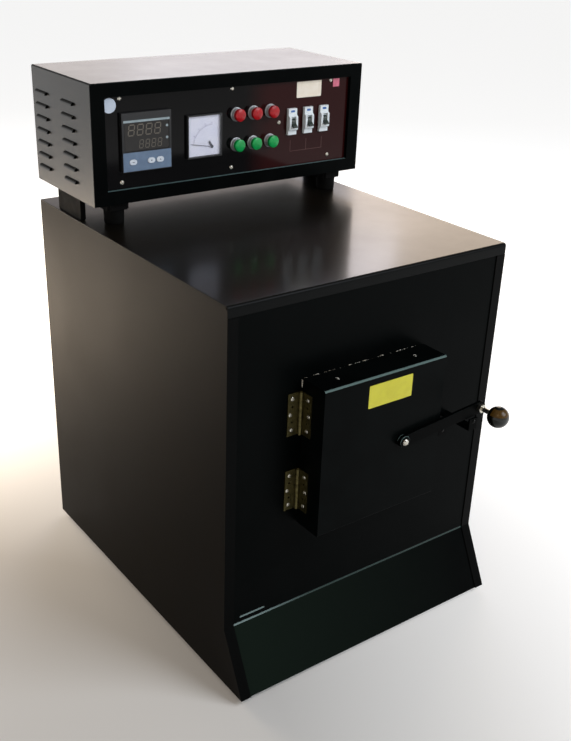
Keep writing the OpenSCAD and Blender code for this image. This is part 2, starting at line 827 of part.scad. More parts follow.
module door_plug() {
    hw = chamber_w / 2 - plug_gap;
    hh = chamber_h / 2 - plug_gap;
    color("#e2d9c6") at_chamber() block([-hw, -liner_y, -hh], [hw, plug_d, hh]);
}

module door_gasket() {
    color("#efece4") at_chamber() difference() {
        block([-gasket_in - gasket_w, -liner_y, -gasket_in_z - gasket_w],
            [gasket_in + gasket_w, -sweep, gasket_in_z + gasket_w]);
        block([-gasket_in, -liner_y - 1, -gasket_in_z], [gasket_in, 1, gasket_in_z]);
    }
}

module door_screws() {
    color("#cfcabb") at_chamber() {
        at_door_screws() small_screw(5);
        at_leaf_screws() translate([0, 0, -leaf_t]) small_screw(leaf_t + 5);
    }
}

// Control box

louvre_cols = [0.37, 0.83];
louvre_z0 = box_h * 0.13;
louvre_step = (box_h * 0.65) / (louvre_rows - 1);

// Places children at each louvre of the left side, on its outer face
module at_louvres() {
    for (y = louvre_cols, i = [0:louvre_rows - 1])
        translate([-body_w / 2, y * box_d, louvre_z0 + i * louvre_step]) children();
}

// The hood of a louvre: a quarter of a tube along Y with closed ends, pressed out of the sheet
module louvre_hood() {
    difference() {
        intersection() {
            translate([box_t, 0, 0]) bar_y(louvre_h, -louvre_l / 2, louvre_l / 2);
            block([-louvre_h, -louvre_l, 0], [box_t, louvre_l, louvre_h + 1]);
        }
        translate([box_t, 0, -1]) bar_y(louvre_h - box_t, -louvre_l / 2 + box_t, louvre_l / 2 - box_t);
    }
}

module louvre_slot() {
    block([-1, -louvre_l / 2 + box_t, -0.5], [box_t + 1, louvre_l / 2 - box_t, louvre_h - box_t - 1]);
}

module box_wall_2d(inset) {
    r = 3;
    w = body_w - 2 * inset;
    h = box_h - inset;
    translate([-w / 2, 0]) square([w, h - r]);
    translate([-w / 2 + r, 0]) square([w - 2 * r, h]);
    for (x = [-1, 1]) translate([x * (w / 2 - r), h - r]) circle(r = r);
}

module box_cover() {
    color("#2b2823") at_box() {
        difference() {
            along_y(0, box_d) difference() {
                box_wall_2d(0);
                box_wall_2d(box_t);
            }
            for (m = [0, 1]) mirror([m, 0, 0]) at_louvres() louvre_slot();
        }
        for (m = [0, 1]) mirror([m, 0, 0]) at_louvres() louvre_hood();
    }
}

module box_floor() {
    color("#26241f") at_box() {
        block([-box_in, box_t, 0], [box_in, box_d - box_t, box_t]);
        for (m = [0, 1]) mirror([m, 0, 0])
            block([-box_in, box_t, 0], [-box_in + box_t, box_d - box_t, 14]);
    }
}

module box_bezel() {
    ox = body_w / 2 - bezel_side;
    z0 = bezel_edge;
    z1 = box_h - bezel_edge;
    color("#1f1c18") at_box() difference() {
        union() {
            along_y(0, box_t) box_wall_2d(box_t + fit);
            block([-ox - box_t, 0, z0 - box_t], [ox + box_t, recess_d, z1 + box_t]);
        }
        block([-ox, -1, z0], [ox, recess_d + 1, z1]);
    }
}

module box_back() {
    color("#26241f") at_box() difference() {
        along_y(box_d - box_t, box_d) box_wall_2d(box_t + fit);
        for (g = gland_spots) if (g[2] == 1)
            translate([g[0], box_d, g[1]]) bar_y(gland_r + fit, -10, 10);
        for (i = [0:5]) translate([0, box_d - 5, box_h - 50 - i * 14]) along_y(0, 10) slot_2d(150, 5);
    }
}

// A round rubber foot under a square pad with notched corners
module box_foot() {
    r = box_foot_d / 2;
    rubber_h = box_foot_h * 0.65;
    pad_r = r + 2;
    notch_r = 4;
    rotate_extrude() polygon([[0, 0], [r - 2, 0], [r - 1, 1.5], [r, rubber_h], [0, rubber_h]]);
    translate([0, 0, rubber_h]) linear_extrude(box_foot_h - rubber_h) difference() {
        square(2 * pad_r, center = true);
        for (x = [-1, 1], y = [-1, 1]) translate([x, y] * pad_r) circle(r = notch_r);
    }
}

// A rail under the box's side, in the Y-Z plane, with its lower ends chamfered
module box_rail_2d() {
    chamfer = 3;
    front = box_d * 0.28;
    back = box_d * 0.67;
    polygon([[front + chamfer, 0], [back - chamfer, 0], [back, chamfer], [back, box_foot_h],
        [front, box_foot_h], [front, chamfer]]);
}

module box_feet() {
    color("#141414") at_box() for (m = [0, 1]) mirror([m, 0, 0]) translate([0, 0, -box_foot_h]) {
        translate([body_w / 2 - box_foot_in, 28, 0]) box_foot();
        along_x(body_w / 2 - rail_t - 3, body_w / 2 - 3) box_rail_2d();
    }
}

// Instruments

module at_panel() {
    at_box() translate([0, panel_y, 0]) children();
}

// Places children at the lamps of a row, counted from the panel's instrument height
module at_lamps(row) {
    for (i = [-1:1]) translate([lamp_x + i * pitch, 0, lamp_z + row * lamp_rows]) children();
}

module at_breaker(i) {
    translate([breaker_x + (i - 1) * pitch, 0, instrument_z]) children();
}

module instrument_panel() {
    color("#0b0708") at_panel() difference() {
        block([-panel_w / 2, 0, bezel_edge - panel_lap],
            [panel_w / 2, panel_t, bezel_edge - panel_lap + panel_h]);
        translate([ctrl_x, 0, ctrl_z])
            cube([ctrl_body + 2 * fit, 10, ctrl_body + 2 * fit], center = true);
        translate([meter_x, 0, meter_z]) bar_y(25 + fit, -5, 5);
        for (row = [-1, 1]) at_lamps(row) bar_y(lamp_shank_r + fit, -5, 5);
        for (i = [0:2]) at_breaker(i)
            cube([breaker_w + 2 * fit, 10, breaker_h + 2 * fit], center = true);
        for (p = panel_screw_spots) translate([p[0], 0, p[1]]) bar_y(small_screw_r + fit, -5, 5);
    }
}

module panel_screws() {
    color("#d8d2bd") at_panel() for (p = panel_screw_spots)
        translate([p[0], 0, p[1]]) to_back() screw(3.8, 1.8, small_screw_r, 7);
}

module at_ctrl() {
    at_panel() translate([ctrl_x, 0, ctrl_z]) children();
}

ctrl_face = -ctrl_out;
ctrl_inset = 1.5;
ctrl_rim = 0.8;
window_z0 = -ctrl_h / 2 + keypad_h + 1;
window_z1 = ctrl_h / 2 - ctrl_strip;
keypad_z = -ctrl_h / 2 + keypad_h / 2;

module controller_case() {
    color("#17181a") at_ctrl() difference() {
        union() {
            block([-ctrl_w / 2, ctrl_face, -ctrl_h / 2], [ctrl_w / 2, 0, ctrl_h / 2]);
            block([-ctrl_body / 2, -1, -ctrl_body / 2], [ctrl_body / 2, ctrl_deep, ctrl_body / 2]);
        }
        block([-ctrl_w / 2 + 4, ctrl_face - 1, window_z0],
            [ctrl_w / 2 - 4, ctrl_face + ctrl_inset, window_z1]);
        block([-ctrl_w / 2 + ctrl_rim, ctrl_face - 1, -ctrl_h / 2 + ctrl_rim],
            [ctrl_w / 2 - ctrl_rim, ctrl_face + ctrl_inset, window_z0 - 1]);
        for (x = key_spots) translate([x, 0, keypad_z])
            along_y(ctrl_face, ctrl_face + ctrl_inset + 3 + key_travel)
                slot_2d(key_w + 2 * fit, key_h + 2 * fit);
    }
}

module controller_window() {
    color("#2a2c2e") at_ctrl()
        block([-ctrl_w / 2 + 4 + fit, ctrl_face + 0.2, window_z0 + fit],
            [ctrl_w / 2 - 4 - fit, ctrl_face + ctrl_inset, window_z1 - fit]);
}

module controller_fascia() {
    color("#6f8699") at_ctrl() difference() {
        block([-ctrl_w / 2 + ctrl_rim + fit, ctrl_face - 0.3, -ctrl_h / 2 + ctrl_rim + fit],
            [ctrl_w / 2 - ctrl_rim - fit, ctrl_face + ctrl_inset, window_z0 - 1 - fit]);
        for (x = key_spots) translate([x, 0, keypad_z]) along_y(ctrl_face - 2, ctrl_face + 5)
            slot_2d(key_w + 2 * fit, key_h + 2 * fit);
    }
}

module key(i) {
    color("#dfe3e6") at_ctrl() translate([key_spots[i], 0, keypad_z])
        along_y(ctrl_face - 0.3 - 1.4, ctrl_face + ctrl_inset + 2) slot_2d(key_w, key_h);
}

module key_1() {
    key(0);
}

module key_2() {
    key(1);
}

module key_3() {
    key(2);
}

module at_meter() {
    at_panel() translate([meter_x, 0, meter_z]) children();
}

meter_frame = 2;
dial_y = -1.5;

module meter_case() {
    iw = meter_w / 2 - meter_frame;
    ih = meter_h / 2 - meter_frame;
    color("#14161a") at_meter() {
        difference() {
            block([-meter_w / 2, -meter_out, -meter_h / 2], [meter_w / 2, 0, meter_h / 2]);
            block([-iw, -meter_out - 1, -ih], [iw, dial_y + 1, ih]);
        }
        bar_y(25, -0.5, meter_deep);
        translate([needle_pivot[0], 0, needle_pivot[1]]) bar_y(1, dial_y - 1.6, -0.4);
    }
}

module meter_dial() {
    iw = meter_w / 2 - meter_frame - fit;
    ih = meter_h / 2 - meter_frame - fit;
    color("#dfe3f2") at_meter() difference() {
        block([-iw, dial_y, -ih], [iw, dial_y + 1, ih]);
        translate([needle_pivot[0], 0, needle_pivot[1]]) bar_y(1 + fit, -5, 5);
    }
}

module meter_window() {
    iw = meter_w / 2 - meter_frame - fit;
    ih = meter_h / 2 - meter_frame - fit;
    color("#cfd8dd", 0.35) at_meter() block([-iw, -meter_out + 0.3, -ih], [iw, -meter_out + 1.5, ih]);
}

module meter_needle() {
    hub_y = dial_y - 1.6;
    color("#2d2a45") at_meter() translate([needle_pivot[0], 0, needle_pivot[1]])
        rotate([0, needle_rest, 0]) difference() {
            union() {
                bar_y(2.4, hub_y, dial_y - 0.3);
                block([-needle_l, hub_y, -0.35], [0, hub_y + 0.6, 0.35]);
                rotate([0, lever_turn, 0]) block([-lever_l, hub_y + 0.15, -1.5], [-1.7, hub_y + 0.75, 1.5]);
            }
            bar_y(1 + run, -10, 5);
        }
}

module lamp_bodies() {
    color("#b9bdc2") at_panel() for (row = [-1, 1]) at_lamps(row) difference() {
        union() {
            bar_y(lamp_d / 2 + 1, -2, 0);
            bar_y(lamp_d / 2, -sleeve_out, -1);
            bar_y(lamp_shank_r, -1, lamp_deep);
        }
        bar_y(lamp_d / 2 - sleeve_wall, -sleeve_out - 1, -3);
    }
}

// A lens: a stem in the sleeve, a cap in front of it, and a low dome
module lens() {
    r = lamp_d / 2 - fit;
    rise = 2;
    dome_r = (r * r + rise * rise) / (2 * rise);
    bar_y(lamp_d / 2 - sleeve_wall - fit, -sleeve_out - 1, -3);
    bar_y(r, -lamp_out + rise, -sleeve_out - fit);
    translate([0, -lamp_out + rise, 0]) to_front() intersection() {
        translate([0, 0, rise - dome_r]) sphere(r = dome_r, $fn = 96);
        cylinder(r = r, h = rise);
    }
}

module red_lenses() {
    color("#a3141e") at_panel() at_lamps(1) lens();
}

module green_lenses() {
    color("#0d9a5c") at_panel() at_lamps(-1) lens();
}

// A breaker seen from its side: shoulders in the panel's window and a raised nose
module breaker_2d() {
    hh = breaker_h / 2;
    polygon([[panel_t + 1, -hh], [-nose_out + 4, -hh], [-nose_out + 4, -hh + 7], [-nose_out, -hh + 9],
        [-nose_out, hh - 14], [-nose_out + 4, hh - 11], [-nose_out + 4, hh], [panel_t + 1, hh]]);
}

toggle_y = -nose_out + 5;

module breaker_bodies() {
    color("#dfe3e6") at_panel() for (i = [0:2]) at_breaker(i) difference() {
        union() {
            along_x(-breaker_w / 2, breaker_w / 2) breaker_2d();
            block([-breaker_w / 2, panel_t + fit, -40], [breaker_w / 2, breaker_deep, 40]);
        }
        translate([-toggle_w / 2 - sweep, toggle_y, 0]) to_right()
            cylinder(r = toggle_r + sweep, h = toggle_w + 2 * sweep);
        block([-toggle_w / 2 - sweep, -nose_out - 1, -9], [toggle_w / 2 + sweep, toggle_y, 9]);
        translate([-toggle_w / 2 - 2.2, toggle_y, 0]) to_right()
            cylinder(r = 1.5 + run, h = toggle_w + 4.4);
    }
}

module toggle(i) {
    color("#3b4a42") at_panel() at_breaker(i) translate([0, toggle_y, 0]) {
        translate([-toggle_w / 2, 0, 0]) to_right() cylinder(r = toggle_r, h = toggle_w);
        translate([-toggle_w / 2 - 1.8, 0, 0]) to_right() cylinder(r = 1.5, h = toggle_w + 3.6);
        rotate([toggle_rest, 0, 0]) {
            block([-toggle_w / 2, -toggle_r - 7, -1.8], [toggle_w / 2, 0, 1.8]);
            translate([-toggle_w / 2, -toggle_r - 7, 0]) to_right() cylinder(r = 1.8, h = toggle_w);
        }
    }
}

module toggle_1() {
    toggle(0);
}

module toggle_2() {
    toggle(1);
}

module toggle_3() {
    toggle(2);
}

// A top-hat rail behind the breakers on two posts that stand on the box floor
module breaker_rail() {
    y0 = panel_y + breaker_deep;
    half = 1.5 * pitch + 10;
    color("#a9adb0") at_box() {
        translate([0, y0, instrument_z]) along_x(breaker_x - half, breaker_x + half) polygon([
            [0, -17.5], [1, -17.5], [1, -13.5], [7.5, -13.5], [7.5, 13.5], [1, 13.5], [1, 17.5],
            [0, 17.5], [0, 12.5], [6.5, 12.5], [6.5, -12.5], [0, -12.5]]);
        for (x = [-1, 1]) translate([breaker_x + x * (half - post_w), y0 + 7.5, 0]) {
            block([-post_w / 2, 0, box_t], [post_w / 2, 2, instrument_z + 13]);
            block([-post_w / 2, 0, box_t], [post_w / 2, 20, box_t + 2]);
        }
    }
}

module contactor() {
    color("#33373a") at_box() translate([-20, box_d - 70, box_t]) difference() {
        union() {
            block([-28, -38, 0], [28, 38, 30]);
            block([-24, -26, 29], [24, 26, 78]);
        }
        for (x = [-18:12:18], y = [-1, 1]) translate([x, y * 32, 20]) cylinder(r = 3, h = 20);
    }
}

left_side_panel();
right_side_panel();
top_panel();
front_plate();
back_panel();
base_pan();
base_feet();
casing_screws();
terminal_cover();
cable_glands();
support_frame();
insulation_boards();
mouth_collar();
muffle();
hearth_plate();
heater_coils();
thermocouple();
terminal_strips();
hinge_fixed_leaves();
hinge_pins();
front_screws();
latch_keeper();
box_cover();
box_floor();
box_bezel();
box_back();
box_feet();
instrument_panel();
panel_screws();
controller_case();
controller_window();
controller_fascia();
meter_case();
meter_dial();
meter_window();
lamp_bodies();
red_lenses();
green_lenses();
breaker_bodies();
breaker_rail();
contactor();
door_shell();
door_insulation();
door_liner();
door_plug();
door_gasket();
door_screws();
hinge_door_leaves();
latch_washers();
latch_bolt();
latch_bar();
latch_stud();
latch_knob();
toggle_1();
toggle_2();
toggle_3();
key_1();
key_2();
key_3();
meter_needle();
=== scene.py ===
"""The looks of a black box muffle furnace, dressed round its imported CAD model."""

import logging
import math
import random
from dataclasses import dataclass
from enum import Enum
import json

import bmesh
import bpy
from mathutils import Matrix, Vector


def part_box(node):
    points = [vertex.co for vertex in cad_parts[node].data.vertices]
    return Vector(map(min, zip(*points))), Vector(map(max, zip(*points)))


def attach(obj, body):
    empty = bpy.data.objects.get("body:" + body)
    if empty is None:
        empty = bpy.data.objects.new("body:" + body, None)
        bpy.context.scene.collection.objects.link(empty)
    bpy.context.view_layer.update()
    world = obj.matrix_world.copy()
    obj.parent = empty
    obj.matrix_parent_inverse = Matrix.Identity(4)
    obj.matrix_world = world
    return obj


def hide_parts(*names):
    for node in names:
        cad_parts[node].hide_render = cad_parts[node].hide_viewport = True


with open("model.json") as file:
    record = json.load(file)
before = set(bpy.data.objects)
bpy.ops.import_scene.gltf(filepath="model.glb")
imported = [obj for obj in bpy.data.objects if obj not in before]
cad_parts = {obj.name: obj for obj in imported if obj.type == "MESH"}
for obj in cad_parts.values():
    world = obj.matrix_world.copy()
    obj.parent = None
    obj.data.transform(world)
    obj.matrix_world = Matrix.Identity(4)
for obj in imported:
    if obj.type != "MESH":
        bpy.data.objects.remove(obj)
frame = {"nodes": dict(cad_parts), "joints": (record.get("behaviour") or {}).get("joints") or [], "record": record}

MM = 0.001
LOG = logging.getLogger("furnace")
# Thickness of screen print, which stands clear of the face below it in the picture
INK_T = 0.05 * MM
THICK_INK_T = 0.08 * MM
# Width of one breaker, as all are that clip on the same rail
BREAKER_W = 18 * MM
# Sockets of a Mix node that is set to colours
MIX_FACTOR, MIX_FIRST, MIX_SECOND, MIX_RESULT = 0, 6, 7, 2


class Body(Enum):
    """The bodies that this script's own pieces ride on."""

    FURNACE = "furnace"
    DOOR = "door"
    KEY_LEFT = "key_left"
    KEY_MIDDLE = "key_middle"
    KEY_RIGHT = "key_right"


def linear(hex_colour: str) -> tuple[float, float, float, float]:
    """Turns an sRGB hex colour into linear light.

    Args:
        hex_colour: Six hex digits after a hash sign.

    Returns:
        Red, green, blue and an alpha of one.
    """
    parts = [int(hex_colour[i : i + 2], 16) / 255 for i in (1, 3, 5)]
    red, green, blue = (c / 12.92 if c <= 0.04045 else ((c + 0.055) / 1.055) ** 2.4 for c in parts)
    return red, green, blue, 1.0


def add_node(
    tree: bpy.types.NodeTree, kind: str, sockets: dict | None = None, **settings
) -> bpy.types.Node:
    """Adds one shader node with its settings, values and links.

    Args:
        tree: The node tree that gets the node.
        kind: Blender's name for the node.
        sockets: Input name or number to a value or to the output that feeds it.
        **settings: Attributes of the node itself.

    Returns:
        The new node.
    """
    node = tree.nodes.new(kind)
    for name, value in settings.items():
        setattr(node, name, value)
    for name, value in (sockets or {}).items():
        if isinstance(value, bpy.types.NodeSocket):
            tree.links.new(value, node.inputs[name])
        else:
            node.inputs[name].default_value = value
    return node


@dataclass(frozen=True)
class Finish:
    """A surface: two tones in patches, a fine grain in relief, and a gloss that wanders a little.

    Attributes:
        name: What the surface is.
        colour: Main sRGB colour.
        shade: Second sRGB colour, met in patches.
        roughness: Mean roughness.
        spread: How far roughness wanders to each side.
        patch_mm: Size of the tone patches.
        grain_mm: Spacing of the grain.
        relief_mm: Height of the grain.
        metallic: One for bare metal.
        ior: Index of refraction.
        specular: Specular level, half for a plain dielectric.
        coat: Weight of a clear coat.
        coat_roughness: Roughness of that coat.
        sheen: Weight of a fibre's sheen.
        alpha: How much of the surface shows, one unless it is clear.
        tone_band: Part of the patches over which the tone turns.
        gloss_band: Part of the patches over which the roughness turns.
    """

    name: str
    colour: str
    shade: str
    roughness: float
    spread: float = 0.05
    patch_mm: float = 40.0
    grain_mm: float = 0.8
    relief_mm: float = 0.01
    metallic: float = 0.0
    ior: float = 1.5
    specular: float = 0.5
    coat: float = 0.0
    coat_roughness: float = 0.1
    sheen: float = 0.0
    alpha: float = 1.0
    tone_band: tuple[float, float] = (0.4, 0.72)
    gloss_band: tuple[float, float] = (0.3, 0.7)

    def place(self, tree: bpy.types.NodeTree) -> bpy.types.NodeSocket:
        """Returns the coordinates that the patterns run in, in metres."""
        return add_node(tree, "ShaderNodeTexCoord").outputs["Object"]

    def patches(self, tree: bpy.types.NodeTree, at: bpy.types.NodeSocket) -> bpy.types.NodeSocket:
        """Returns a soft cloud pattern for tone and gloss."""
        sockets = {"Vector": at, "Scale": 1 / (self.patch_mm * MM), "Detail": 5.0, "Roughness": 0.6}
        return add_node(tree, "ShaderNodeTexNoise", sockets).outputs[0]

    def grain(self, tree: bpy.types.NodeTree, at: bpy.types.NodeSocket) -> bpy.types.NodeSocket:
        """Returns the height of the grain, nought to one."""
        sockets = {"Vector": at, "Scale": 1 / (self.grain_mm * MM), "Detail": 2.0}
        return add_node(tree, "ShaderNodeTexNoise", sockets).outputs[0]

    def tone(self, tree: bpy.types.NodeTree, amount: bpy.types.NodeSocket) -> bpy.types.NodeSocket:
        """Returns the colour, from the main one to the second."""
        ramp = add_node(tree, "ShaderNodeValToRGB", {"Fac": amount})
        low, high = ramp.color_ramp.elements
        low.position, high.position = self.tone_band
        low.color, high.color = linear(self.colour), linear(self.shade)
        return ramp.outputs["Color"]

    def coating(self, tree: bpy.types.NodeTree) -> float | bpy.types.NodeSocket:
        """Returns the weight of the clear coat."""
        return self.coat

    def gloss(self, tree: bpy.types.NodeTree, amount: bpy.types.NodeSocket) -> bpy.types.NodeSocket:
        """Returns the roughness, which follows the patches."""
        sockets = {
            "Value": amount,
            "From Min": self.gloss_band[0],
            "From Max": self.gloss_band[1],
            "To Min": max(self.roughness - self.spread, 0.0),
            "To Max": self.roughness + self.spread,
        }
        return add_node(tree, "ShaderNodeMapRange", sockets).outputs["Result"]

    def build(self) -> bpy.types.Material:
        """Makes the material.

        Returns:
            A node material named for the finish.
        """
        material = bpy.data.materials.new(self.name)
        material.use_nodes = True
        tree = material.node_tree
        tree.nodes.clear()
        at = self.place(tree)
        cloud = self.patches(tree, at)
        relief = {"Height": self.grain(tree, at), "Distance": self.relief_mm * MM}
        bump = add_node(tree, "ShaderNodeBump", relief)
        shader = add_node(
            tree,
            "ShaderNodeBsdfPrincipled",
            {
                "Base Color": self.tone(tree, cloud),
                "Roughness": self.gloss(tree, cloud),
                "Normal": bump.outputs["Normal"],
                "Metallic": self.metallic,
                "IOR": self.ior,
                "Specular IOR Level": self.specular,
                "Coat Weight": self.coating(tree),
                "Coat Roughness": self.coat_roughness,
                "Sheen Weight": self.sheen,
                "Alpha": self.alpha,
            },
        )
        add_node(tree, "ShaderNodeOutputMaterial", {"Surface": shader.outputs["BSDF"]})
        return material


@dataclass(frozen=True)
class Enamel(Finish):
    """Sprayed stoving enamel: orange peel in low waves, with grains of dust caught in the paint.

    Attributes:
        dust_mm: Spacing of the dust grains.
        dust_r: Radius of a grain as a share of that spacing.
        dust: Height of a grain as a share of the relief, nought for clean paint.
    """

    dust_mm: float = 28.0
    dust_r: float = 0.04
    dust: float = 1.0

    def grain(self, tree: bpy.types.NodeTree, at: bpy.types.NodeSocket) -> bpy.types.NodeSocket:
        """Returns the orange peel with its dust grains on top."""
        waves = {"Vector": at, "Scale": 1 / (self.grain_mm * MM), "Detail": 1.0}
        peel = add_node(tree, "ShaderNodeTexNoise", waves)
        dust = add_node(tree, "ShaderNodeTexVoronoi", {"Vector": at, "Scale": 1 / (self.dust_mm * MM)})
        cone = {"From Min": 0.0, "From Max": self.dust_r, "To Min": self.dust, "To Max": 0.0}
        speck = add_node(tree, "ShaderNodeMapRange", {"Value": dust.outputs["Distance"], **cone})
        both = {0: peel.outputs[0], 1: speck.outputs["Result"]}
        return add_node(tree, "ShaderNodeMath", both, operation="ADD").outputs[0]


@dataclass(frozen=True)
class PaintedLightEnamel(Enamel):
    """Enamel with a second tone, painted light, on the stretches of a sheet that face a given way: painted shade
    on some sheets, a painted highlight or sheen on the rest.

    Attributes:
        painted_light_tone: The second tone, a painted shade or a painted highlight.
        rise: Least and greatest upward part of the normals that get it.
        facing: Greatest backward part of those normals.
        fade: Places along X where it is whole and where it is gone, if it fades.
    """

    painted_light_tone: str = "#000000"
    rise: tuple[float, float] = (-2.0, 2.0)
    facing: float = -0.5
    fade: tuple[float, float] | None = None

    def turned(self, tree: bpy.types.NodeTree) -> bpy.types.NodeSocket:
        """Returns one where the sheet faces that way."""
        normal = add_node(tree, "ShaderNodeTexCoord").outputs["Normal"]
        part = add_node(tree, "ShaderNodeSeparateXYZ", {0: normal}).outputs
        tests = (("GREATER_THAN", part["Z"], self.rise[0]), ("LESS_THAN", part["Z"], self.rise[1]))
        behind = {0: part["Y"], 1: self.facing}
        mask = add_node(tree, "ShaderNodeMath", behind, operation="LESS_THAN").outputs[0]
        for test, value, limit in tests:
            met = add_node(tree, "ShaderNodeMath", {0: value, 1: limit}, operation=test).outputs[0]
            mask = add_node(tree, "ShaderNodeMath", {0: mask, 1: met}, operation="MULTIPLY").outputs[0]
        if self.fade:
            across = add_node(tree, "ShaderNodeSeparateXYZ", {0: self.place(tree)}).outputs["X"]
            limits = {"From Min": self.fade[0], "From Max": self.fade[1], "To Min": 1.0, "To Max": 0.0}
            left = add_node(tree, "ShaderNodeMapRange", {"Value": across, **limits}).outputs["Result"]
            mask = add_node(tree, "ShaderNodeMath", {0: mask, 1: left}, operation="MULTIPLY").outputs[0]
        return mask

    def tone(self, tree: bpy.types.NodeTree, amount: bpy.types.NodeSocket) -> bpy.types.NodeSocket:
        """Returns the colour, with the painted shade or highlight where the sheet faces that way."""
        tones = {MIX_FIRST: super().tone(tree, amount), MIX_SECOND: linear(self.painted_light_tone)}
        both = {MIX_FACTOR: self.turned(tree), **tones}
        return add_node(tree, "ShaderNodeMix", both, data_type="RGBA").outputs[MIX_RESULT]

    def coating(self, tree: bpy.types.NodeTree) -> float | bpy.types.NodeSocket:
        """Returns the coat's weight, none where the sheet faces that way."""
        if not self.coat:
            return self.coat
        limits = {"Value": self.turned(tree), "To Min": self.coat, "To Max": 0.0}
        return add_node(tree, "ShaderNodeMapRange", limits).outputs["Result"]


@dataclass(frozen=True)
class SprayAndPaintedLightFade(Finish):
    """A surface whose colour turns to another towards the right: a real overspray on some finishes, a painted
    highlight or reflection on the rest.

    Attributes:
        thin: The colour on the right: the overspray on the zinc screws, the dark end of the fold's painted
            highlight, the painted maroon reflection on the acrylic.
        from_x: Where it starts to show.
        to_x: Where it alone is left.
    """

    thin: str = "#000000"
    from_x: float = 0.0
    to_x: float = 0.1

    def tone(self, tree: bpy.types.NodeTree, amount: bpy.types.NodeSocket) -> bpy.types.NodeSocket:
        """Returns the colour, which turns to the right-hand colour along X."""
        body = super().tone(tree, amount)
        across = add_node(tree, "ShaderNodeSeparateXYZ", {0: self.place(tree)}).outputs["X"]
        limits = {"Value": across, "From Min": self.from_x, "From Max": self.to_x}
        fade = add_node(tree, "ShaderNodeMapRange", limits, interpolation_type="SMOOTHSTEP")
        both = {MIX_FACTOR: fade.outputs["Result"], MIX_FIRST: body, MIX_SECOND: linear(self.thin)}
        return add_node(tree, "ShaderNodeMix", both, data_type="RGBA").outputs[MIX_RESULT]


@dataclass(frozen=True)
class Brushed(Finish):
    """Rolled or brushed metal: the grain is drawn out along one axis.

    Attributes:
        along: How far the grain is squeezed along each axis.
    """

    along: tuple[float, float, float] = (0.02, 1.0, 1.0)

    def grain(self, tree: bpy.types.NodeTree, at: bpy.types.NodeSocket) -> bpy.types.NodeSocket:
        """Returns fine lines that run along the brushing."""
        stretched = add_node(tree, "ShaderNodeMapping", {"Vector": at, "Scale": self.along})
        sockets = {"Vector": stretched.outputs[0], "Scale": 1 / (self.grain_mm * MM), "Detail": 3.0}
        return add_node(tree, "ShaderNodeTexNoise", sockets).outputs[0]


@dataclass(frozen=True)
class Fired(Finish):
    """Fired refractory: open pores and grog of the size of coarse sand.

    Attributes:
        pore: Radii of a pore's floor and rim as shares of the spacing.
    """

    pore: tuple[float, float] = (0.05, 0.35)

    def grain(self, tree: bpy.types.NodeTree, at: bpy.types.NodeSocket) -> bpy.types.NodeSocket:
        """Returns pits where the pores are."""
        pores = add_node(tree, "ShaderNodeTexVoronoi", {"Vector": at, "Scale": 1 / (self.grain_mm * MM)})
        floor, rim = self.pore
        sockets = {"Value": pores.outputs["Distance"], "From Min": floor, "From Max": rim}
        return add_node(tree, "ShaderNodeMapRange", sockets).outputs["Result"]


@dataclass(frozen=True)
class Felted(Finish):
    """Pressed ceramic fibre: long crossed hairs that catch the light.

    Attributes:
        crossing: How strongly the hairs are bent across each other.
    """

    crossing: float = 2.5

    def grain(self, tree: bpy.types.NodeTree, at: bpy.types.NodeSocket) -> bpy.types.NodeSocket:
        """Returns crossed hairs as a warped noise."""
        sockets = {"Vector": at, "Scale": 1 / (self.grain_mm * MM), "Detail": 6.0}
        return add_node(tree, "ShaderNodeTexNoise", sockets | {"Distortion": self.crossing}).outputs[0]


# Stoving enamel on sheet steel: black with a warm cast where it is lit, with painted shade on its front
# flanges that makes them as black as the front. Its orange peel has waves of about 2 mm, drawn at 9 mm,
# because finer ones don't show
CASING_ENAMEL = PaintedLightEnamel(
    "Semi-gloss black stoving enamel", "#0c0a08", "#120f0b", 0.33, 0.05, 140, 9.0, 0.02, specular=0.03,
    dust=0.0, painted_light_tone="#040505",
)
# The top was rubbed down and sprayed last, so it mirrors the room more than the sides do. Its front lap
# gets painted shade, as black as the front
TOP_ENAMEL = PaintedLightEnamel(
    "Gloss black stoving enamel", "#0f0d0a", "#17120d", 0.33, 0.04, 90, 9.0, 0.02, specular=0.06,
    coat=0.4, coat_roughness=0.15, dust=0.0, painted_light_tone="#040606",
)
# The cover of the control box was sprayed with it in a thicker coat. Its front-facing stretches get
# painted shade, as black as the front
BOX_ENAMEL = PaintedLightEnamel(
    "Gloss black cover enamel", "#0f0d0a", "#17120d", 0.33, 0.04, 90, 9.0, 0.02, specular=0.08,
    coat=0.58, coat_roughness=0.15, dust=0.0, painted_light_tone="#040606",
)
# The front's enamel is a darker copy of the casing's, almost without colour, as painted shade. Its toe
# gets a painted greenish sheen that fades out towards the right
FRONT_ENAMEL = PaintedLightEnamel(
    "Satin black stoving enamel", "#030505", "#060808", 0.34, 0.05, 120, 1.6, 0.004, specular=0.02,
    painted_light_tone="#131c17", rise=(0.2, 0.8), facing=-0.5, fade=(-0.22, 0.22),
)
# The door's upward-facing front folds get a pale painted highlight
DOOR_ENAMEL = PaintedLightEnamel(
    "Satin black door enamel", "#040606", "#070a0a", 0.33, 0.05, 60, 1.4, 0.004, specular=0.02,
    painted_light_tone="#5c706e", rise=(0.12, 0.985), facing=-0.1,
)
# The bezel's upward faces, such as the lip under the instrument panel, get a pale painted highlight
BEZEL_ENAMEL = PaintedLightEnamel(
    "Satin black bezel enamel", "#030505", "#060808", 0.33, 0.05, 60, 1.4, 0.004, specular=0.02,
    painted_light_tone="#5a7274", rise=(0.5, 2.0), facing=0.5,
)
# Folded keeper and bar, with a faint painted highlight on their upward-facing front edges
LATCH_ENAMEL = PaintedLightEnamel(
    "Black enamel with painted edge highlights", "#030404", "#050606", 0.36, 0.08, 25, 1.2, 0.006, specular=0.015,
    painted_light_tone="#323c3b", rise=(0.3, 0.93), facing=-0.2,
)
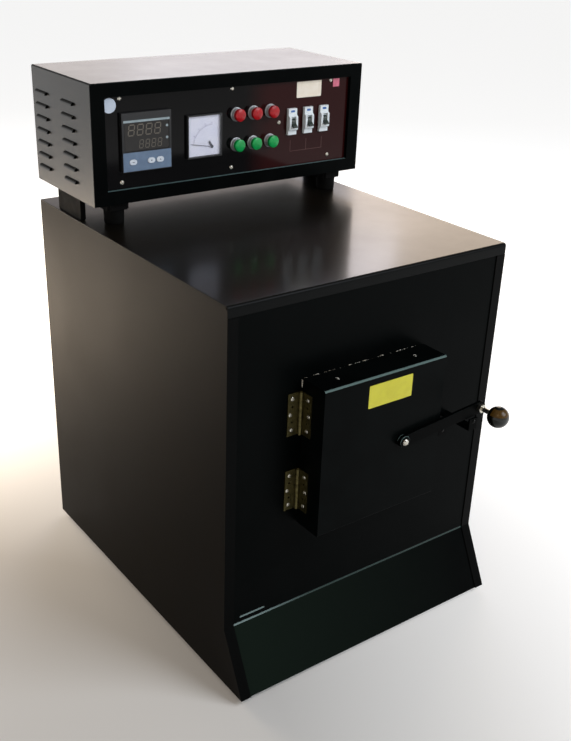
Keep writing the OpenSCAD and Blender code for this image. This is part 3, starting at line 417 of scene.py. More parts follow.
# The bead in the fold at the foot of the front, and the dash above it, are pale as a painted highlight,
# which fades to dark towards the right
FOLD_HIGHLIGHT = SprayAndPaintedLightFade(
    "Fold bead with painted highlight", "#7d9292", "#6c8080", 0.24, 0.06, 90, 1.0, 0.01, specular=0.28,
    thin="#1d3431", from_x=-0.25, to_x=-0.08,
)
# Vulcanised rubber: dead matte, faintly grey with dust
RUBBER = Finish(
    "Black vulcanised rubber", "#060606", "#0d0d0c", 0.75, 0.08, 12, 0.5, 0.02, specular=0.08,
)
# Bright zinc plate: cold, slightly cloudy
ZINC = Brushed("Bright zinc plate", "#c9c6bc", "#a9a598", 0.28, 0.08, 4, 0.2, 0.004, metallic=1.0)
# The same screws where the front was sprayed over them, to the right of the door
SPRAYED_ZINC = SprayAndPaintedLightFade(
    "Zinc screws, some sprayed over", "#c9c6bc", "#a9a598", 0.28, 0.08, 4, 0.2, 0.004, metallic=1.0,
    thin="#0b0c0c", from_x=0.1, to_x=0.11,
)
# Moulded polyamide: matte with a fine eroded skin
NYLON = Finish("Moulded black polyamide", "#0d0d0e", "#141415", 0.55, 0.06, 20, 0.3, 0.01)
# Grey primer on the angle iron, seen only through the vents
PRIMER = Finish("Grey primer", "#4a4642", "#57504a", 0.7, 0.08, 30, 0.6, 0.02)
# Vacuum-formed fibre board: off-white, hairy, with no gloss at all
FIBRE = Felted(
    "Ceramic fibre board", "#e6e0d4", "#cfc5b2", 0.95, 0.03, 25, 1.0, 0.12, sheen=0.3, specular=0.2,
)
# Insulating firebrick: cream and full of pores
FIREBRICK = Fired("Insulating firebrick", "#d9cbb0", "#c4b08e", 0.9, 0.05, 30, 1.8, 0.25, specular=0.2)
# High-alumina muffle: buff, browned near the coils
MUFFLE = Fired("Fired alumina muffle", "#c8b596", "#a48c69", 0.85, 0.06, 50, 1.2, 0.12, specular=0.3)
# Iron-chromium wire after firing: a dark brown-grey oxide skin
HEATING_WIRE = Brushed(
    "Oxidised heating wire", "#3b302a", "#5b4a3e", 0.6, 0.1, 6, 0.3, 0.01, metallic=0.6,
)
# Glazed porcelain of terminal strips
PORCELAIN = Finish("White glazed porcelain", "#e9e5da", "#dcd6c8", 0.12, 0.04, 20, 4.0, 0.01, coat=0.5)
# Brass-plated hinge steel, dulled to olive by handling
HINGE_BRASS = Brushed("Dull brass plate", "#665f3e", "#3d3823", 0.45, 0.1, 7, 0.35, 0.006, metallic=1.0)
# Stainless liner of the door: satin, straw-tinted by heat
STAINLESS = Brushed(
    "Satin stainless sheet", "#a7a196", "#8f8268", 0.35, 0.07, 50, 0.3, 0.004, metallic=1.0,
)
# Acrylic sheet, sprayed black behind: deep gloss, with a painted maroon reflection towards the right
ACRYLIC = SprayAndPaintedLightFade(
    "Gloss acrylic sprayed on its back", "#050506", "#080708", 0.1, 0.03, 120, 8.0, 0.002, specular=0.12,
    thin="#2c0c0c", from_x=0.015, to_x=0.075,
)
# Polycarbonate instrument frames: matte
FRAME_PLASTIC = Finish("Matte black polycarbonate", "#141517", "#1a1b1e", 0.45, 0.05, 15, 0.25, 0.008)
# Smoked display window
SMOKE = Finish("Smoked display window", "#1d1b1a", "#232120", 0.14, 0.02, 30, 6.0, 0.002, specular=0.3)
# Printed polyester keypad foil
KEYPAD_FOIL = Finish("Blue-grey keypad foil", "#667b96", "#7188a3", 0.38, 0.05, 12, 0.3, 0.006)
# Domed keys in the foil
KEY_FOIL = Finish("Pale grey key foil", "#dfe8f2", "#d0dbe8", 0.35, 0.05, 6, 0.3, 0.006)
# Printed metal dial
DIAL = Finish("White dial paint", "#eef0ff", "#e4e7fb", 0.5, 0.05, 20, 0.4, 0.004)
# Clear cover of the meter
CLEAR = Finish("Clear styrene cover", "#f4f8ff", "#eef4ff", 0.04, 0.02, 40, 9.0, 0.001, alpha=0.06)
# Painted needle
NEEDLE_PAINT = Finish("Black needle paint", "#1c1a33", "#221f3a", 0.45, 0.05, 5, 0.2, 0.004)
# Anodised lamp sleeves
SLEEVE = Brushed(
    "Satin anodised aluminium", "#c8ccd0", "#b4b9be", 0.36, 0.05, 8, 0.2, 0.004, metallic=0.5,
)
# Lamp lenses, unlit: deep colour under a clear skin
RED_LENS = Finish(
    "Ruby lens plastic", "#b30a16", "#8e0610", 0.3, 0.05, 6, 1.5, 0.02, specular=0.3, coat=0.15,
)
GREEN_LENS = Finish(
    "Emerald lens plastic", "#06a852", "#058840", 0.3, 0.05, 6, 1.5, 0.02, specular=0.3, coat=0.15,
)
# Breaker mouldings: cold off-white
BREAKER = Finish("Off-white breaker moulding", "#e9f1f5", "#dde6eb", 0.4, 0.05, 15, 0.3, 0.01)
TOGGLE = Finish("Dark toggle moulding", "#27332d", "#1d2723", 0.35, 0.06, 6, 0.3, 0.01)
CONTACTOR = Finish("Dark grey moulding", "#3a3e42", "#34383b", 0.5, 0.05, 20, 0.3, 0.01)
# Turned and polished phenolic ball: black, with a painted warm brown highlight on its upper faces
BAKELITE = PaintedLightEnamel(
    "Polished black phenolic with painted warm highlight", "#0b0d08", "#14150c", 0.2, 0.04, 15, 3.0, 0.01, specular=0.3,
    coat=0.2, painted_light_tone="#523b18", rise=(0.35, 0.9), facing=0.2,
)
# Plain adhesive foils
YELLOW_FOIL = Finish("Yellow adhesive foil", "#cfca2e", "#c4bd2a", 0.4, 0.05, 25, 0.5, 0.004)
CREAM_FOIL = Finish("Cream adhesive foil", "#f6eedf", "#eee3cf", 0.4, 0.05, 15, 0.5, 0.004)
PALE_FOIL = Finish("Pale blue-grey adhesive foil", "#c9d6e6", "#bccbdd", 0.4, 0.05, 15, 0.5, 0.004)
ROSE_FOIL = Finish("Rose adhesive foil", "#d9738a", "#cc647c", 0.4, 0.05, 8, 0.5, 0.004)
# Fine scale marks, so thin that they print pale
SCALE_PRINT = Finish("Grey scale print", "#a9a8c4", "#9897b6", 0.5, 0.05, 5, 0.2, 0.003)
# Anodised trim strip and pilot dots of the controller
TRIM = Finish("Silver trim print", "#9fb0b6", "#8a9aa2", 0.3, 0.05, 6, 0.2, 0.003)
# Line print on the acrylic, worn thin
LINE_PRINT = Finish("Faded line print", "#5a3430", "#4c2b28", 0.5, 0.05, 6, 0.3, 0.003)
# Legends on the keys
KEY_PRINT = Finish("Slate key print", "#5d6b7c", "#55626f", 0.5, 0.05, 6, 0.3, 0.003)
# Blue mark on a breaker
BLUE_PRINT = Finish("Blue screen print", "#3b6fb5", "#335f9c", 0.5, 0.05, 10, 0.3, 0.003)
# Unlit display segments, paler than their window
SEGMENT = Finish("Unlit display segments", "#6b655a", "#5b564d", 0.4, 0.05, 8, 0.4, 0.003)

SLOT_FINISHES = {
    "casing_paint": CASING_ENAMEL,
    "rubber_feet": RUBBER,
    "zinc_screws": ZINC,
    "black_nylon": NYLON,
    "frame_steel": PRIMER,
    "ceramic_fibre": FIBRE,
    "firebrick": FIREBRICK,
    "muffle_ceramic": MUFFLE,
    "heater_wire": HEATING_WIRE,
    "porcelain": PORCELAIN,
    "hinge_brass": HINGE_BRASS,
    "liner_steel": STAINLESS,
    "panel_gloss": ACRYLIC,
    "instrument_black": FRAME_PLASTIC,
    "display_smoke": SMOKE,
    "fascia_blue": KEYPAD_FOIL,
    "key_grey": KEY_FOIL,
    "dial_white": DIAL,
    "clear_window": CLEAR,
    "needle_black": NEEDLE_PAINT,
    "lamp_sleeve": SLEEVE,
    "lens_red": RED_LENS,
    "lens_green": GREEN_LENS,
    "breaker_white": BREAKER,
    "toggle_dark": TOGGLE,
    "contactor_grey": CONTACTOR,
    "bakelite": BAKELITE,
}
NODE_FINISHES = {
    "top_panel": TOP_ENAMEL,
    "box_cover": BOX_ENAMEL,
    "front_plate": FRONT_ENAMEL,
    "front_screws": SPRAYED_ZINC,
    "box_bezel": BEZEL_ENAMEL,
    "door_shell": DOOR_ENAMEL,
    "latch_keeper": LATCH_ENAMEL,
    "latch_bar": LATCH_ENAMEL,
    "latch_washers": DOOR_ENAMEL,
}
# Wide plates with many holes keep their cut edges as they are
SHARP_PLATES = ("front_plate", "instrument_panel", "back_panel", "box_back", "terminal_cover")


class Paintbox:
    """Builds each finish once and hands out its material."""

    def __init__(self) -> None:
        """Starts with no material."""
        self.made: dict[str, bpy.types.Material] = {}

    def get(self, finish: Finish) -> bpy.types.Material:
        """Returns the finish's material, made on first use."""
        if finish.name not in self.made:
            self.made[finish.name] = finish.build()
        return self.made[finish.name]


PAINTS = Paintbox()


def place_piece(piece: bpy.types.Object, finish: Finish, body: Body) -> bpy.types.Object:
    """Paints a new piece and lets it ride on a body.

    Args:
        piece: A mesh or curve object, already in its place.
        finish: The finish it gets.
        body: The body it rides on.

    Returns:
        The piece.
    """
    piece.data.materials.clear()
    piece.data.materials.append(PAINTS.get(finish))
    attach(piece, body.value)
    LOG.info("piece %s rides on %s", piece.name, body.value)
    return piece


def mesh_object(name: str, mesh: bmesh.types.BMesh) -> bpy.types.Object:
    """Turns a bmesh into an object in the scene.

    Args:
        name: The object's name.
        mesh: The bmesh, which is freed.

    Returns:
        The object, at the origin.
    """
    bmesh.ops.recalc_face_normals(mesh, faces=mesh.faces)
    data = bpy.data.meshes.new(name)
    mesh.to_mesh(data)
    mesh.free()
    piece = bpy.data.objects.new(name, data)
    bpy.context.scene.collection.objects.link(piece)
    return piece


def add_plate(
    mesh: bmesh.types.BMesh, outline: list[tuple[float, float]], y: float, depth: float
) -> None:
    """Adds a flat plate that faces the front.

    Args:
        mesh: The bmesh that gets the plate.
        outline: Corners in X and Z, in metres.
        y: Place of the plate's back.
        depth: Thickness towards the front.
    """
    back = [mesh.verts.new((x, y, z)) for x, z in outline]
    front = [mesh.verts.new((x, y - depth, z)) for x, z in outline]
    mesh.faces.new(back)
    mesh.faces.new(front[::-1])
    for i in range(len(outline)):
        j = (i + 1) % len(outline)
        mesh.faces.new((back[j], back[i], front[i], front[j]))


def polar(x: float, z: float, radius: float, angle: float) -> tuple[float, float]:
    """Returns the point at a radius and an angle from a middle in a plane."""
    return x + radius * math.cos(angle), z + radius * math.sin(angle)


def rounded(
    x: float, z: float, width: float, height: float, radius: float, steps: int = 6
) -> list[tuple[float, float]]:
    """Works out the outline of a rectangle with round corners.

    Args:
        x: Middle of the rectangle.
        z: Middle of the rectangle.
        width: Its width.
        height: Its height.
        radius: Radius of the corners.
        steps: Segments in each corner.

    Returns:
        The outline's points in order.
    """
    points = []
    for corner, (sx, sz) in enumerate(((1, 1), (-1, 1), (-1, -1), (1, -1))):
        cx = x + sx * (width / 2 - radius)
        cz = z + sz * (height / 2 - radius)
        turns = [math.radians(90 * (corner + i / steps)) for i in range(steps + 1)]
        points += [polar(cx, cz, radius, a) for a in turns]
    return points


def middle(node: str) -> Vector:
    """Returns the middle of a CAD node's box."""
    low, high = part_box(node)
    return (low + high) / 2


def breaker_places() -> list[float]:
    """Returns the middles of the three breakers along X."""
    low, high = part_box("breaker_bodies")
    pitch = (high.x - low.x - BREAKER_W) / 2
    return [middle("breaker_bodies").x + i * pitch for i in (-1, 0, 1)]


@dataclass
class CadDress:
    """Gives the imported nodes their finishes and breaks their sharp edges.

    Attributes:
        edge_mm: Radius of a folded or cut sheet edge.
        plastic_edge_mm: Radius of a moulded edge.
        weld_mm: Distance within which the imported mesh's corners are one.
        edge_angle: Least angle of an edge that is broken.
        split_angle: Least angle between sides that are shaded apart.
        flat_angle: Greatest angle between faces that count as one flat.
        edge_segments: Segments across a broken edge.
        normal_weight: How far the wide faces lead the shading.
        spill: Share by which a face's triangles may cover more than the face.
    """

    edge_mm: float = 0.7
    plastic_edge_mm: float = 0.5
    weld_mm: float = 0.005
    edge_angle: float = math.radians(38)
    split_angle: float = math.radians(20)
    flat_angle: float = math.radians(0.3)
    edge_segments: int = 2
    normal_weight: int = 80
    spill: float = 0.02

    def build(self) -> None:
        """Dresses each node by its material slot."""
        slots = {part["node"]: part["material_slot"] for part in frame["record"]["subparts"]}
        for name, piece in frame["nodes"].items():
            finish = NODE_FINISHES.get(name, SLOT_FINISHES[slots[name]])
            piece.data.materials.clear()
            piece.data.materials.append(PAINTS.get(finish))
            self.weld(piece)
            if name not in SHARP_PLATES:
                self.bevel(piece, self.width(slots[name]))
            if name in SHARP_PLATES or self.torn(piece):
                self.split(piece)
            piece.modifiers.new("Normals", "WEIGHTED_NORMAL").weight = self.normal_weight
        LOG.info("dressed %d nodes", len(frame["nodes"]))

    def width(self, slot: str) -> float:
        """Returns the edge radius in metres for a material slot."""
        wide = slot in ("casing_paint", "firebrick", "muffle_ceramic")
        return (self.edge_mm if wide else self.plastic_edge_mm) * MM

    def weld(self, piece: bpy.types.Object) -> None:
        """Joins corners that lie in one place."""
        piece.modifiers.new("Weld", "WELD").merge_threshold = self.weld_mm * MM

    def bevel(self, piece: bpy.types.Object, width: float) -> None:
        """Makes one face of each flat and breaks its edges, clamped so that thin sheet keeps its shape.

        Args:
            piece: The node's object.
            width: Radius of the bevel in metres.
        """
        flat = piece.modifiers.new("Flats", "DECIMATE")
        flat.decimate_type = "DISSOLVE"
        flat.angle_limit = self.flat_angle
        bevel = piece.modifiers.new("Edges", "BEVEL")
        bevel.width = width
        bevel.segments = self.edge_segments
        bevel.limit_method = "ANGLE"
        bevel.angle_limit = self.edge_angle
        bevel.use_clamp_overlap = True

    def torn(self, piece: bpy.types.Object) -> bool:
        """Tells whether a ring was joined into one face, which would fill its hole.

        Args:
            piece: The node's object, with its bevel.

        Returns:
            Whether the triangles of some face cover more than the face.
        """
        mesh = piece.evaluated_get(bpy.context.evaluated_depsgraph_get()).data
        mesh.calc_loop_triangles()
        covered = [0.0] * len(mesh.polygons)
        for triangle in mesh.loop_triangles:
            covered[triangle.polygon_index] += triangle.area
        least = 0.01 * MM * MM
        return any(covered[face.index] > face.area * (1 + self.spill) + least for face in mesh.polygons)

    def split(self, piece: bpy.types.Object) -> None:
        """Leaves the edges as cut and shades each side by itself."""
        for name in ("Flats", "Edges"):
            if name in piece.modifiers:
                piece.modifiers.remove(piece.modifiers[name])
        piece.modifiers.new("Cut edges", "EDGE_SPLIT").split_angle = self.split_angle
        LOG.info("%s keeps its cut edges", piece.name)


@dataclass
class DoorDress:
    """The plain foil on the door and the fibre that shows along its rim.

    Attributes:
        foil_x: Middle of the foil from the casing's middle.
        foil_top: The foil's top edge below the door's top edge.
        foil_w: Width of the foil.
        foil_h: Height of the foil.
        foil_t: Thickness of the foil.
        foil_corner: Radius of the foil's corners.
        fibre_t: Thickness of the torn fibre.
        fibre_gap: Its distance behind the shell.
        fibre_root: How far it reaches down behind the door's top edge.
        fibre_ends: How far it stays from the door's left and right edges.
        crest_mm: Least and greatest height of a tuft over that edge.
        tuft_step: Mean width of a tuft.
        tuft_spread: Least and greatest width of a tuft as a share of that.
        tuft_taper: Where a tuft's crest starts and ends, as shares of its width.
        tuft_gaps_mm: Gaps that may follow a tuft.
        corner_mm: Corners of the tuft at the door's top left corner, from that corner.
        seed: Seed of the draws for the tufts.
    """

    foil_x: float = -8.8 * MM
    foil_top: float = 13.0 * MM
    foil_w: float = 85 * MM
    foil_h: float = 37 * MM
    foil_t: float = 0.25 * MM
    foil_corner: float = 1.5 * MM
    fibre_t: float = 0.9 * MM
    fibre_gap: float = 0.15 * MM
    fibre_root: float = 6 * MM
    fibre_ends: tuple[float, float] = (3 * MM, 8 * MM)
    crest_mm: tuple[float, float] = (-1.4, 0.9)
    tuft_step: float = 2.2 * MM
    tuft_spread: tuple[float, float] = (0.6, 2.4)
    tuft_taper: tuple[float, float] = (0.1, 0.92)
    tuft_gaps_mm: tuple[float, ...] = (0.2, 0.5, 0.9, 2.5, 6.0)
    corner_mm: tuple[tuple[float, float], ...] = ((-1.2, -14), (0.4, -13), (0.2, -3), (-0.9, -2))
    seed: int = 7

    def build(self) -> None:
        """Makes the foil and the fibre fringe."""
        low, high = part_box("door_shell")
        mesh = bmesh.new()
        middle_z = high.z - self.foil_top - self.foil_h / 2
        outline = rounded(self.foil_x, middle_z, self.foil_w, self.foil_h, self.foil_corner)
        add_plate(mesh, outline, low.y, self.foil_t)
        place_piece(mesh_object("door_foil", mesh), YELLOW_FOIL, Body.DOOR)
        self.fringe(low, high)

    def fringe(self, low: Vector, high: Vector) -> None:
        """Lays torn fibre along the gap between the door's rim and the front plate.

        Args:
            low: The door shell's lowest corner.
            high: The door shell's highest corner.
        """
        rng = random.Random(self.seed)
        mesh = bmesh.new()
        back = high.y + self.fibre_gap + self.fibre_t
        root = high.z - self.fibre_root
        corner = [(low.x + dx * MM, high.z + dz * MM) for dx, dz in self.corner_mm]
        add_plate(mesh, corner, back, self.fibre_t)
        x = low.x + self.fibre_ends[0]
        while x < high.x - self.fibre_ends[1]:
            width = self.tuft_step * rng.uniform(*self.tuft_spread)
            crest = [high.z + rng.uniform(*self.crest_mm) * MM for _ in range(2)]
            left, right = (x + width * share for share in self.tuft_taper)
            section = [(x, root), (x + width, root), (right, crest[0]), (left, crest[1])]
            add_plate(mesh, section, back, self.fibre_t)
            x += width + rng.choice(self.tuft_gaps_mm) * MM
        place_piece(mesh_object("gasket_fringe", mesh), FIBRE, Body.DOOR)


@dataclass
class FoldDress:
    """The bead in the fold where the front turns out into the toe, and a short dash above it, both pale as a
    painted highlight.

    Attributes:
        toe_h: Height of the fold above the casing's floor.
        foot_h: Height of that floor above the ground.
        toe_reach: How far the toe stands out at its foot.
        bead_r: Radius of the bead's hollow.
        steps: Segments across the hollow.
        dash_w: Length of the dash.
        dash_h: Its height.
        dash_left: Its middle from the plate's left edge.
        dash_rise: How far it is above the fold.
        dash_t: Its thickness.
        dash_round: Radius of its corners as a share of its height.
        end_gap: How far the bead stays from the plate's ends.
        bed: How deep the bead's back lies in the plate.
    """

    toe_h: float = 104 * MM
    foot_h: float = 10 * MM
    toe_reach: float = 51 * MM
    bead_r: float = 7 * MM
    steps: int = 6
    dash_w: float = 46 * MM
    dash_h: float = 3.0 * MM
    dash_left: float = 51 * MM
    dash_rise: float = 11 * MM
    dash_t: float = 0.5 * MM
    dash_round: float = 0.45
    end_gap: float = 1 * MM
    bed: float = 0.1 * MM

    def build(self) -> None:
        """Makes the bead and the dash."""
        low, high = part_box("front_plate")
        face = high.y - self.plate_depth(low, high)
        fold = self.foot_h + self.toe_h
        self.bead(low.x + self.end_gap, high.x - self.end_gap, face, fold)
        # A short raised dash above the fold, pale as a painted highlight
        mesh = bmesh.new()
        centre = (low.x + self.dash_left, fold + self.dash_rise)
        outline = rounded(*centre, self.dash_w, self.dash_h, self.dash_h * self.dash_round)
        add_plate(mesh, outline, face, self.dash_t)
        place_piece(mesh_object("highlight_dash", mesh), FOLD_HIGHLIGHT, Body.FURNACE)

    def bead(self, left: float, right: float, face: float, fold: float) -> None:
        """Runs the bead along the fold between the two flanges.

        Args:
            left: The bead's left end.
            right: The bead's right end.
            face: Place of the plate's upright face.
            fold: Height of the fold.
        """
        lean = math.atan2(self.toe_reach, self.toe_h)
        hollow_y, hollow_z = face - self.bead_r, fold + self.bead_r * math.tan(lean / 2)
        arc = [-lean * i / self.steps for i in range(self.steps + 1)]
        section = [polar(hollow_y, hollow_z, self.bead_r, angle) for angle in arc]
        section.append((face + self.bed, fold))
        mesh = bmesh.new()
        ends = [[mesh.verts.new((x, y, z)) for y, z in section] for x in (left, right)]
        for i in range(len(section)):
            j = (i + 1) % len(section)
            mesh.faces.new((ends[0][i], ends[0][j], ends[1][j], ends[1][i]))
        for end in ends:
            mesh.faces.new(end)
        place_piece(mesh_object("fold_bead", mesh), FOLD_HIGHLIGHT, Body.FURNACE)

    def plate_depth(self, low: Vector, high: Vector) -> float:
        """Returns how far the plate's flat front lies before its rearmost edge."""
        return (high.y - low.y) - self.toe_reach


@dataclass
class HeaterDress:
    """Wound heating wire in place of the CAD's plain coil rods.

    Attributes:
        wire_d: Diameter of the wire.
        rod_r: Outer radius of a winding.
        coil_pitch: Distance between turns.
        turn_steps: Points in a turn.
        rows: Windings on each side of the chamber.
        rear_gap: How far they end before the muffle's back.
    """

    wire_d: float = 1.8 * MM
    rod_r: float = 6.2 * MM
    coil_pitch: float = 5.0 * MM
    turn_steps: int = 12
    rows: int = 4
    rear_gap: float = 30 * MM

    def build(self) -> None:
        """Winds one helix for each rod and keeps the rods' leads."""
        curve = bpy.data.curves.new("heater_windings", "CURVE")
        curve.dimensions = "3D"
        curve.bevel_depth = self.wire_d / 2
        curve.bevel_resolution = 2
        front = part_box("heater_coils")[0].y
        for x, z in self.rods():
            self.wind(curve, x, z, front)
        piece = bpy.data.objects.new("heater_windings", curve)
        bpy.context.scene.collection.objects.link(piece)
        place_piece(piece, HEATING_WIRE, Body.FURNACE)
        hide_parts("heater_coils")

    def rods(self) -> list[tuple[float, float]]:
        """Reads the rods' places off the CAD node.

        Returns:
            The middle of each rod in X and Z.
        """
        low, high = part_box("heater_coils")
        base, top = low.z + self.rod_r, high.z - self.rod_r
        step = (top - base) / (self.rows - 1)
        sides = (low.x + self.rod_r, high.x - self.rod_r)
        return [(x, base + row * step) for x in sides for row in range(self.rows)]

    def wind(self, curve: bpy.types.Curve, x: float, z: float, front: float) -> None:
        """Adds one helix with a straight lead that ends at the terminal strip.

        Args:
            curve: The curve that gets the spline.
            x: Middle of the helix.
            z: Middle of the helix.
            front: Its front end.
        """
        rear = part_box("muffle")[1].y - self.rear_gap
        lead_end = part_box("terminal_strips")[1].y
        radius = self.rod_r - self.wire_d / 2
        count = int((rear - front - self.wire_d) / self.coil_pitch * self.turn_steps)
        points = []
        for i in range(count + 1):
            px, pz = polar(x, z, radius, 2 * math.pi * i / self.turn_steps)
            points.append((px, front + self.wire_d / 2 + i * self.coil_pitch / self.turn_steps, pz))
        points += [(x, rear, z), (x, lead_end, z)]
        spline = curve.splines.new("POLY")
        spline.points.add(len(points) - 1)
        for point, place in zip(spline.points, points):
            point.co = (*place, 1.0)


@dataclass
class PanelDress:
    """Printing and foils on the instrument panel.

    Places run from the left edge of the bezel and the floor of the control box.

    Attributes:
        foil_t: Thickness of an adhesive foil.
        disc_at: Middle of the round foil.
        disc_r: Its radius.
        disc_steps: Corners of its outline.
        plate_at: Middle of the long foil.
        plate_size: Its width and height.
        plate_corner: Radius of its corners.
        tab_at: Middle of the small foil.
        tab_size: Its width and height.
        tab_corner: Radius of its corners.
        line_w: Width of a printed line.
        bracket: Heights of the lower and upper ends of the printed bracket.
    """

    foil_t: float = 0.3 * MM
    disc_at: tuple[float, float] = (33 * MM, 153.5 * MM)
    disc_r: float = 11.5 * MM
    disc_steps: int = 48
    plate_at: tuple[float, float] = (417 * MM, 151 * MM)
    plate_size: tuple[float, float] = (53 * MM, 27 * MM)
    plate_corner: float = 1.5 * MM
    tab_at: tuple[float, float] = (476.5 * MM, 158 * MM)
    tab_size: tuple[float, float] = (14 * MM, 14 * MM)
    tab_corner: float = 1 * MM
    line_w: float = 0.7 * MM
    bracket: tuple[float, float] = (47 * MM, 66 * MM)

    def build(self) -> None:
        """Makes the foils and the printed lines."""
        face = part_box("instrument_panel")[0].y
        left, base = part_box("box_bezel")[0].x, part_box("box_cover")[0].z
        (disc_x, disc_z), (plate_x, plate_z), (tab_x, tab_z) = (
            (left + x, base + z) for x, z in (self.disc_at, self.plate_at, self.tab_at)
        )
        turns = [2 * math.pi * i / self.disc_steps for i in range(self.disc_steps)]
        disc = [polar(disc_x, disc_z, self.disc_r, a) for a in turns]
        plate = rounded(plate_x, plate_z, *self.plate_size, self.plate_corner)
        tab = rounded(tab_x, tab_z, *self.tab_size, self.tab_corner)
        self.foil("panel_disc", disc, face, PALE_FOIL)
        self.foil("panel_plate", plate, face, CREAM_FOIL)
        self.foil("panel_tab", tab, face, ROSE_FOIL)
        self.lines(face, base)

    def foil(self, name: str, outline: list[tuple[float, float]], face: float, finish: Finish) -> None:
        """Sticks one plain foil on the panel.

        Args:
            name: The piece's name.
            outline: Its corners in X and Z.
            face: The panel's front face.
            finish: The foil's finish.
        """
        mesh = bmesh.new()
        add_plate(mesh, outline, face, self.foil_t)
        place_piece(mesh_object(name, mesh), finish, Body.FURNACE)

    def lines(self, face: float, base: float) -> None:
        """Prints the bracket that joins the three breakers.

        Args:
            face: The panel's front face.
            base: Height of the control box's floor.
        """
        places = breaker_places()
        bottom, top = (base + height for height in self.bracket)
        mesh = bmesh.new()
        for x in places:
            add_plate(mesh, self.stroke(x, bottom, x, top), face, INK_T)
        # The level line lies over the ends of the upright ones
        add_plate(mesh, self.stroke(places[0], bottom, places[-1], bottom), face, INK_T * 1.2)
        place_piece(mesh_object("panel_print", mesh), LINE_PRINT, Body.FURNACE)

    def stroke(self, x0: float, z0: float, x1: float, z1: float) -> list[tuple[float, float]]:
        """Returns the outline of an upright or level line."""
        half = self.line_w / 2
        x0, z0, x1, z1 = x0 - half, z0 - half, x1 + half, z1 + half
        return [(x0, z0), (x1, z0), (x1, z1), (x0, z1)]


KEY_BODIES = {1: Body.KEY_LEFT, 2: Body.KEY_MIDDLE, 3: Body.KEY_RIGHT}
# Places of a digit's segments from its middle, as shares of its half width and half height, and
# whether they are level
SEGMENTS = (
    (0.0, 1.0, True),
    (0.0, 0.0, True),
    (0.0, -1.0, True),
    (-1.0, 0.5, False),
    (1.0, 0.5, False),
    (-1.0, -0.5, False),
    (1.0, -0.5, False),
)


@dataclass(frozen=True)
class DigitRow:
    """A row of seven-segment digits, all segments shown unlit.

    Attributes:
        shift: Its middle from the window's middle, as a share of the window's width.
        inset: Its middle from the window's edge.
        upper: Whether that edge is the upper one.
        step: Distance between digits.
        width: Width of a digit.
        height: Height of a digit.
        slant: Lean of the digits.
        count: Number of digits.
        thick: Width of a segment as a share of the digit's.
        gap: Gap between upright segments as a share of that.
    """

    shift: float
    inset: float
    upper: bool
    step: float
    width: float
    height: float
    slant: float = 0.12
    count: int = 4
    thick: float = 0.14
    gap: float = 0.8

    def draw(self, mesh: bmesh.types.BMesh, low: Vector, high: Vector) -> None:
        """Adds the digits to a window.

        Args:
            mesh: The bmesh that gets the digits.
            low: The window's lowest corner.
            high: The window's highest corner.
        """
        row_x = (low.x + high.x) / 2 + (high.x - low.x) * self.shift
        row_z = high.z - self.inset if self.upper else low.z + self.inset
        thick = self.width * self.thick
        for i in range(self.count):
            digit_x = row_x + (i - (self.count - 1) / 2) * self.step
            for sx, sz, level in SEGMENTS:
                half_w = (self.width / 2 - thick) if level else thick / 2
                half_h = thick / 2 if level else (self.height / 4 - thick * self.gap)
                x = digit_x + sx * (self.width - thick) / 2 + sz * self.height / 2 * self.slant
                z = row_z + sz * (self.height - thick) / 2
                corners = ((-1, -1), (1, -1), (1, 1), (-1, 1))
                lean = half_h * self.slant
                outline = [(x + cx * half_w + cz * lean, z + cz * half_h) for cx, cz in corners]
                add_plate(mesh, outline, low.y, THICK_INK_T)


